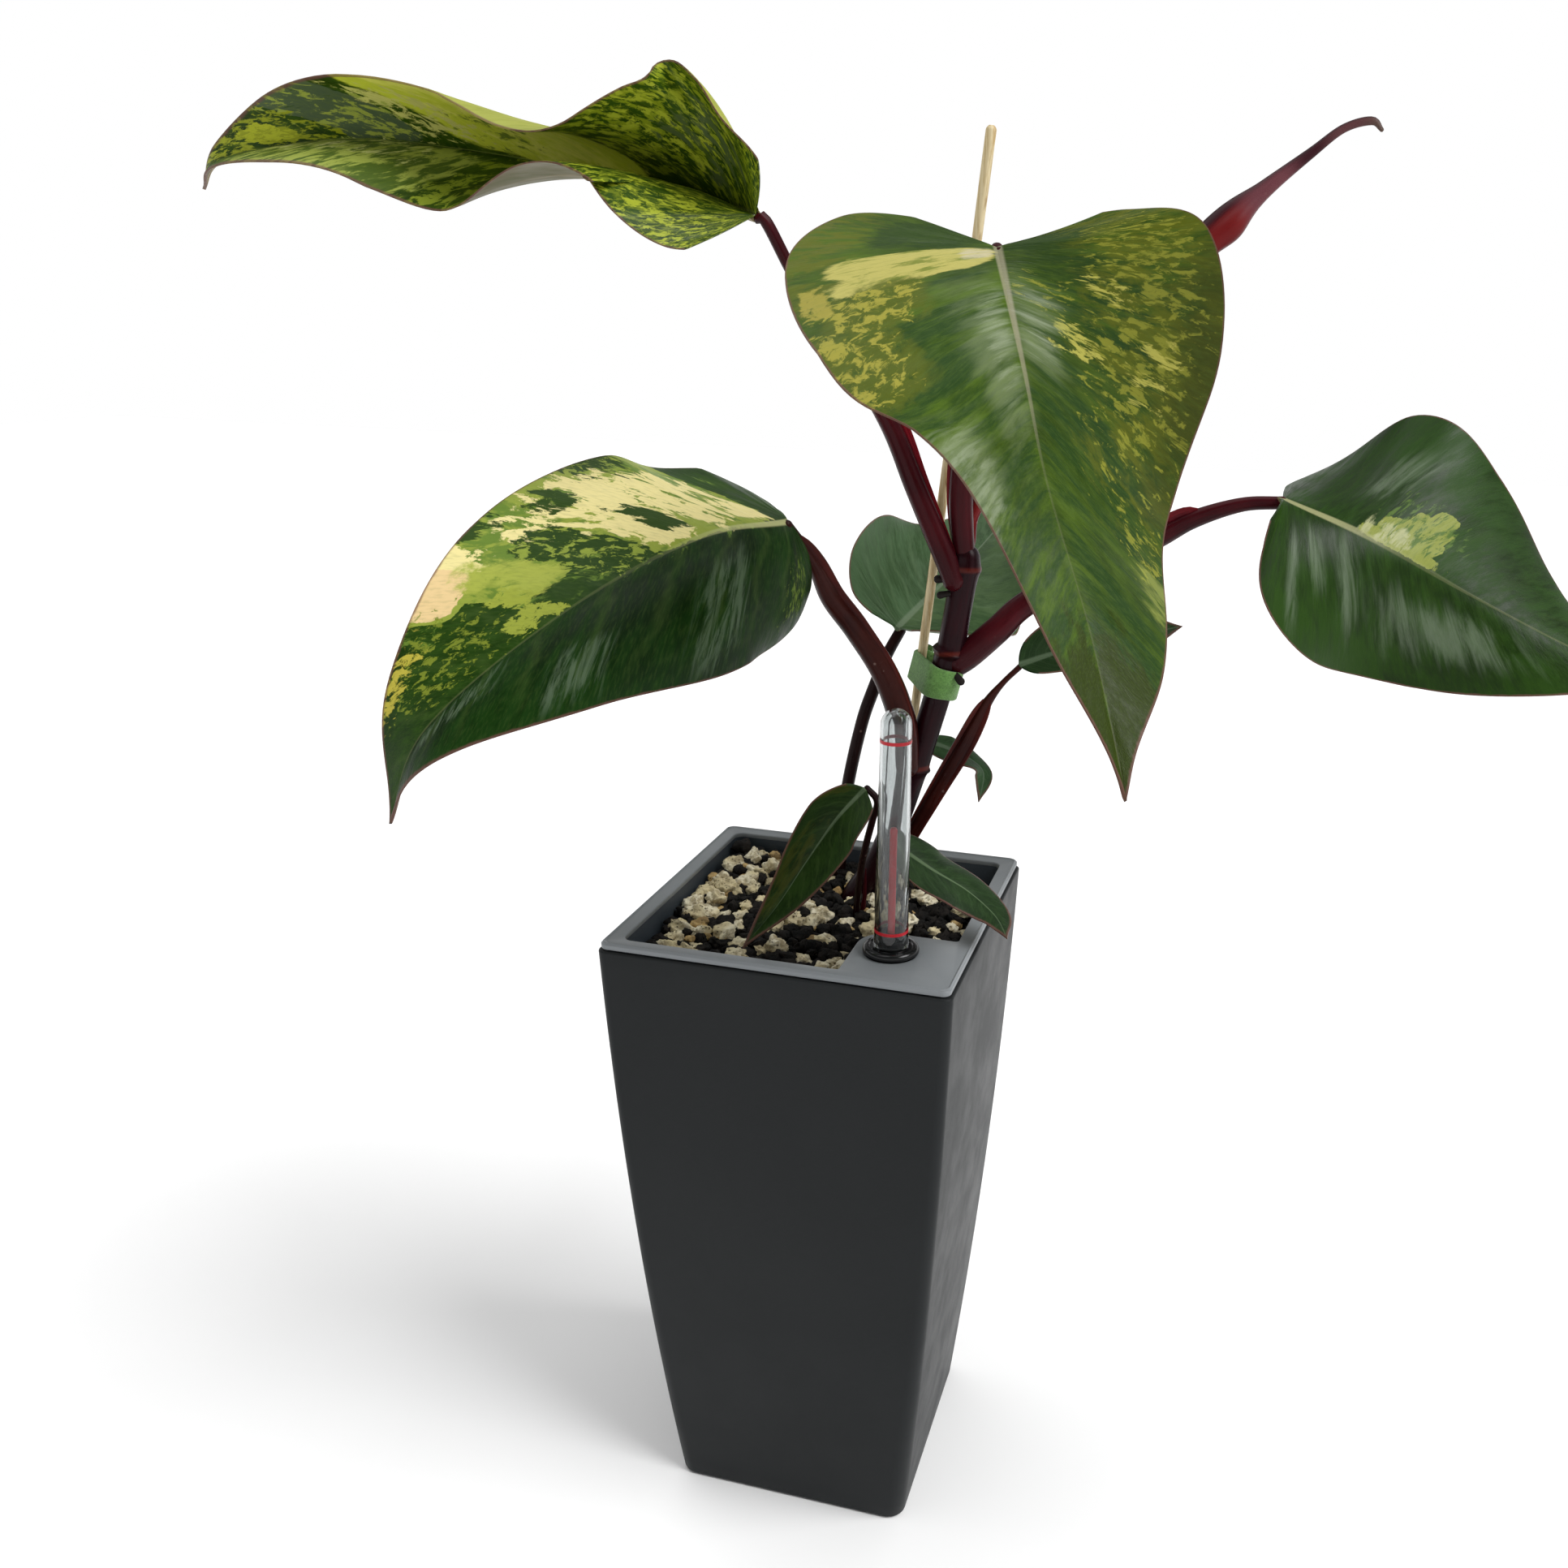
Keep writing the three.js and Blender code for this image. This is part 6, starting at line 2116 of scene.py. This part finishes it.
@dataclass
class Support:
    """The bamboo stake, the felt tie and the two wicks."""

    tie_height: float = 8.0
    tie_skin: float = 1.1
    tie_inside: float = 3.9
    tie_edge: float = 0.3
    tie_wave: float = 0.5
    stake_inside: float = STAKE_RADIUS + 0.6
    end_lifts: Pair = (0.9, 0.8)
    end_off: Pair = (0.55, 2.4)
    end_half: float = 0.5
    wick_radius: float = 2.6
    wick_top: float = 112.0
    wick_places: tuple[Pair, ...] = ((-17, -12), (-17, 14))

    def at_height(self, points: Sequence[Point], z: float) -> Array:
        """The point of a curve at a height."""
        line = Curve(points).at(np.linspace(0, 1, 401))
        return line[np.argmin(np.abs(line[:, 2] - z))]

    def tie(self) -> Shape:
        """The strap round stem and stake, with its free end.

        Returns:
            The strap.
        """
        stem = self.at_height(STEM, TIE_Z)
        stake = self.at_height((STAKE_FOOT, STAKE_TOP), TIE_Z)
        up = unit(self.at_height(STEM, TIE_Z + 6) - self.at_height(STEM, TIE_Z - 6))
        turn = Vector((0, 0, 1)).rotation_difference(Vector(up)).to_matrix()
        flat = turn.inverted() @ Vector(stake - stem)
        a, b = np.zeros(2), np.array([flat.x, flat.y])
        high, edge, skin = self.tie_height / 2, self.tie_edge, self.tie_skin
        profile = ((skin - edge, -high), (skin, edge - high), (skin, 0), (skin, high - edge),
                   (skin - edge, high), (edge, high), (0, high - edge), (0, edge - high), (edge, -high))
        rings = []
        for grow, z in profile:
            outline = strap_outline(a, self.tie_inside + grow, b, self.stake_inside + grow)
            rings.append(np.array([(x, y, z) for x, y in outline]))
        shape = closed_loft(rings)
        shape.join(self.free_end(a, b))
        waves = np.array([noise.noise(Vector(p) * 0.2) for p in shape.points])
        shape.points[:, 2] += self.tie_wave * waves
        shape.points = shape.points @ np.array(turn).T + stem
        return shape

    def free_end(self, a: Array, b: Array) -> Shape:
        """The strap's end, which stands off the back of the stake.

        Args:
            a: The stem's place.
            b: The stake's place.

        Returns:
            The end.
        """
        outer = strap_outline(a, self.tie_inside + self.tie_skin, b, self.stake_inside + self.tie_skin)
        path = np.array(outer[20:27])
        ways = unit(np.gradient(path, axis=0))
        sides = np.stack([ways[:, 1], -ways[:, 0]], axis=1)
        low, high = -self.tie_height / 2 + self.end_lifts[0], self.tie_height / 2 + self.end_lifts[1]
        rings = []
        for point, side, off in zip(path, sides, np.linspace(*self.end_off, len(path))):
            near = point + side * (off - self.end_half)
            far = point + side * (off + self.end_half)
            rings.append(np.array([(*near, low), (*far, low), (*far, high), (*near, high)]))
        return loft(rings)

    def make(self, bamboo: Material, felt: Material, wick: Material) -> None:
        """Builds and dresses the stake, tie and wicks.

        Args:
            bamboo: The stake's material.
            felt: The tie's material.
            wick: The wicks' material.
        """

        def fibres(share: float, angles: Array) -> Array:
            """An uneven split surface."""
            return 1 + 0.035 * np.sin(5 * angles + 6 * share) + 0.02 * np.sin(40 * share)

        stake = tube((STAKE_FOOT, STAKE_TOP), (STAKE_RADIUS, STAKE_RADIUS), (0, -1, 0), 20, 60, fibres)
        settle(stake.build("bamboo_cane", [bamboo], 50), ["bamboo_stake"])
        settle(self.tie().build("felt_tie", [felt], 50), ["stem_tie"])
        for number, (x, y) in enumerate(self.wick_places, 1):
            low = POT_FLOOR + 0.3
            path = ((x, y, low + 0.6), (x, y, 60), (x, y, self.wick_top - 0.6))
            shape = tube(path, (self.wick_radius,) * 3, (0, -1, 0), 20, 40)
            settle(shape.build(f"felt_wick_{number}", [wick], 50), [f"wick_{number}"])


# Studio

def rotation(axis: str, degrees: float) -> Matrix:
    """A turn about one axis."""
    return Matrix.Rotation(math.radians(degrees), 4, axis)


@dataclass
class Studio:
    """Pale floor, soft light and the camera at the photograph's place."""

    camera_at: Point = (0.1017, -0.3228, 0.3244)
    heading: float = 14.67
    tilt: float = 65.4
    roll: float = 1.31
    lens: float = 31.658
    shift: Pair = (-0.0652, 0.0963)
    floor_half: float = 3.0
    horizon: float = 1.0
    zenith: float = 0.24
    window: float = 2.6
    ceiling: float = 1.2

    def camera(self) -> None:
        """Places the camera."""
        data = bpy.data.cameras.new("camera")
        data.sensor_width = 36.0
        data.lens = self.lens
        data.shift_x, data.shift_y = self.shift
        data.clip_start = 0.01
        holder = bpy.data.objects.new("camera", data)
        turn = rotation("Z", self.heading) @ rotation("X", self.tilt) @ rotation("Z", self.roll)
        holder.matrix_world = Matrix.Translation(self.camera_at) @ turn
        bpy.context.scene.collection.objects.link(holder)
        bpy.context.scene.camera = holder

    def floor(self) -> None:
        """Lays the floor."""
        h = self.floor_half / MM
        w = Paint("pale floor", Roughness=0.9)
        shade = w.mix(w.smooth(w.noise(w.place(), 3.0), 0.3, 0.7), colour("F6F6F6"), colour("FBFBFB"))
        shape = Shape(np.array([(-h, -h, 0), (h, -h, 0), (h, h, 0), (-h, h, 0)], float), [(0, 1, 2, 3)])
        shape.build("floor", [w.coat(shade)])

    def sun(self, name: str, heading: float, height: float, power: float, softness: float) -> None:
        """Adds one wide, distant lamp, as soft as a window.

        Args:
            name: Its name.
            heading: The side that it stands on, in degrees from +X towards +Y.
            height: How high it stands, in degrees.
            power: Its strength.
            softness: Its width in degrees.
        """
        data = bpy.data.lights.new(name, "SUN")
        data.energy = power
        data.angle = math.radians(softness)
        lamp = bpy.data.objects.new(name, data)
        lamp.matrix_world = rotation("Z", heading + 90) @ rotation("X", 90 - height)
        bpy.context.scene.collection.objects.link(lamp)

    def sky(self) -> None:
        """Makes the sky: white at the horizon and dim above."""
        world = bpy.data.worlds.new("studio")
        world.use_nodes = True
        w = NodeWriter(world.node_tree)
        background = world.node_tree.nodes["Background"]
        height = w.height(w.add("ShaderNodeTexCoord").outputs["Generated"])
        w.wire(w.smooth(height, 0.17, 0.42, self.horizon, self.zenith), background.inputs["Strength"])
        background.inputs["Color"].default_value = (1, 1, 1, 1)
        bpy.context.scene.world = world

    def make(self) -> None:
        """Sets up floor, lights, sky and camera."""
        self.camera()
        self.floor()
        self.sun("window light", -8, 48, self.window, 35)
        self.sun("ceiling light", 150, 75, self.ceiling, 60)
        self.sky()
        bpy.context.scene.view_settings.view_transform = "Standard"


def main() -> None:
    """Builds and dresses every piece in order, and keeps the sizes."""
    logging.basicConfig(level=logging.INFO, format="%(name)s: %(message)s")
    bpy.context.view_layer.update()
    Studio().make()
    skins = StalkSkins()
    dark_plastic = PlasticFinish("anthracite plastic", "252728", "222425", 0.42, 14.0, shine=0.08).make()
    rim_plastic = PlasticFinish("grey rim plastic", "7D8184", "767B7E", 0.38, 25.0, 0.04).make()
    # The basin's plastic is the liner's grey made darker: painted shade inside the pot.
    shaded_basin_plastic = PlasticFinish("basin plastic with painted shade", "40474E", "383F46", 0.45, 30.0, 0.05,
                                 shine=0.2).make()
    black = PlasticFinish("black gauge plastic", "0E0F10", "141516", 0.2, 60.0, 0.04, 0.008, 0.35).make()
    red = PlasticFinish("red gauge plastic", "B81C28", "A61822", 0.35, 60.0, 0.04, 0.01).make()
    bright_red = PlasticFinish("red rod plastic", "E01E2C", "D01C28", 0.35, 60.0, 0.04, 0.01).make()
    clear = ClearFinish("clear gauge plastic", "C8CCCC", "D8DCDC").make()
    liner = Liner()
    Planter().make(dark_plastic)
    liner.make(rim_plastic, shaded_basin_plastic)
    WaterGauge().make(black, clear, red, bright_red)
    # The colour after each stone finish's three tones is painted shade in its pores.
    stones = {
        "pumice": StoneFinish("pumice", ("EEE6CC", "DACCA4", "B0A282"), "4A3E2C", 1100.0, 0.4).make(),
        "lava": StoneFinish("lava", ("141312", "0C0C0B", "24201D"), "030303", 1100.0, 0.45).make(),
        "tan_stones": StoneFinish("tan stones", ("A88A5C", "8A7450", "C4A874"), "4A3A28", 900.0, 0.12).make(),
    }
    bed = StoneFinish("dark fine substrate", ("12100E", "0B0A09", "1C1916"), "030303", 700.0, 0.6).make()
    Substrate().make(liner, bed, stones)
    bamboo = BambooFinish("bamboo", "D8C79E", "B59A68", "7A5A34").make()
    tie = FeltFinish("green felt", "6B9A4C", "476F30").make()
    wick = FeltFinish("wick felt", "CFC8B8", "A8A08C").make()
    Support().make(bamboo, tie, wick)
    Stem().make(skins)
    for name, form in LEAF_FORMS.items():
        small = {"columns": 70, "rows": 14} if form.young else {}
        Leaf(name, form, LEAF_FINISHES[name], **small).make(skins)
    NewLeaf().make(skins)


if __name__ == "__main__":
    main()
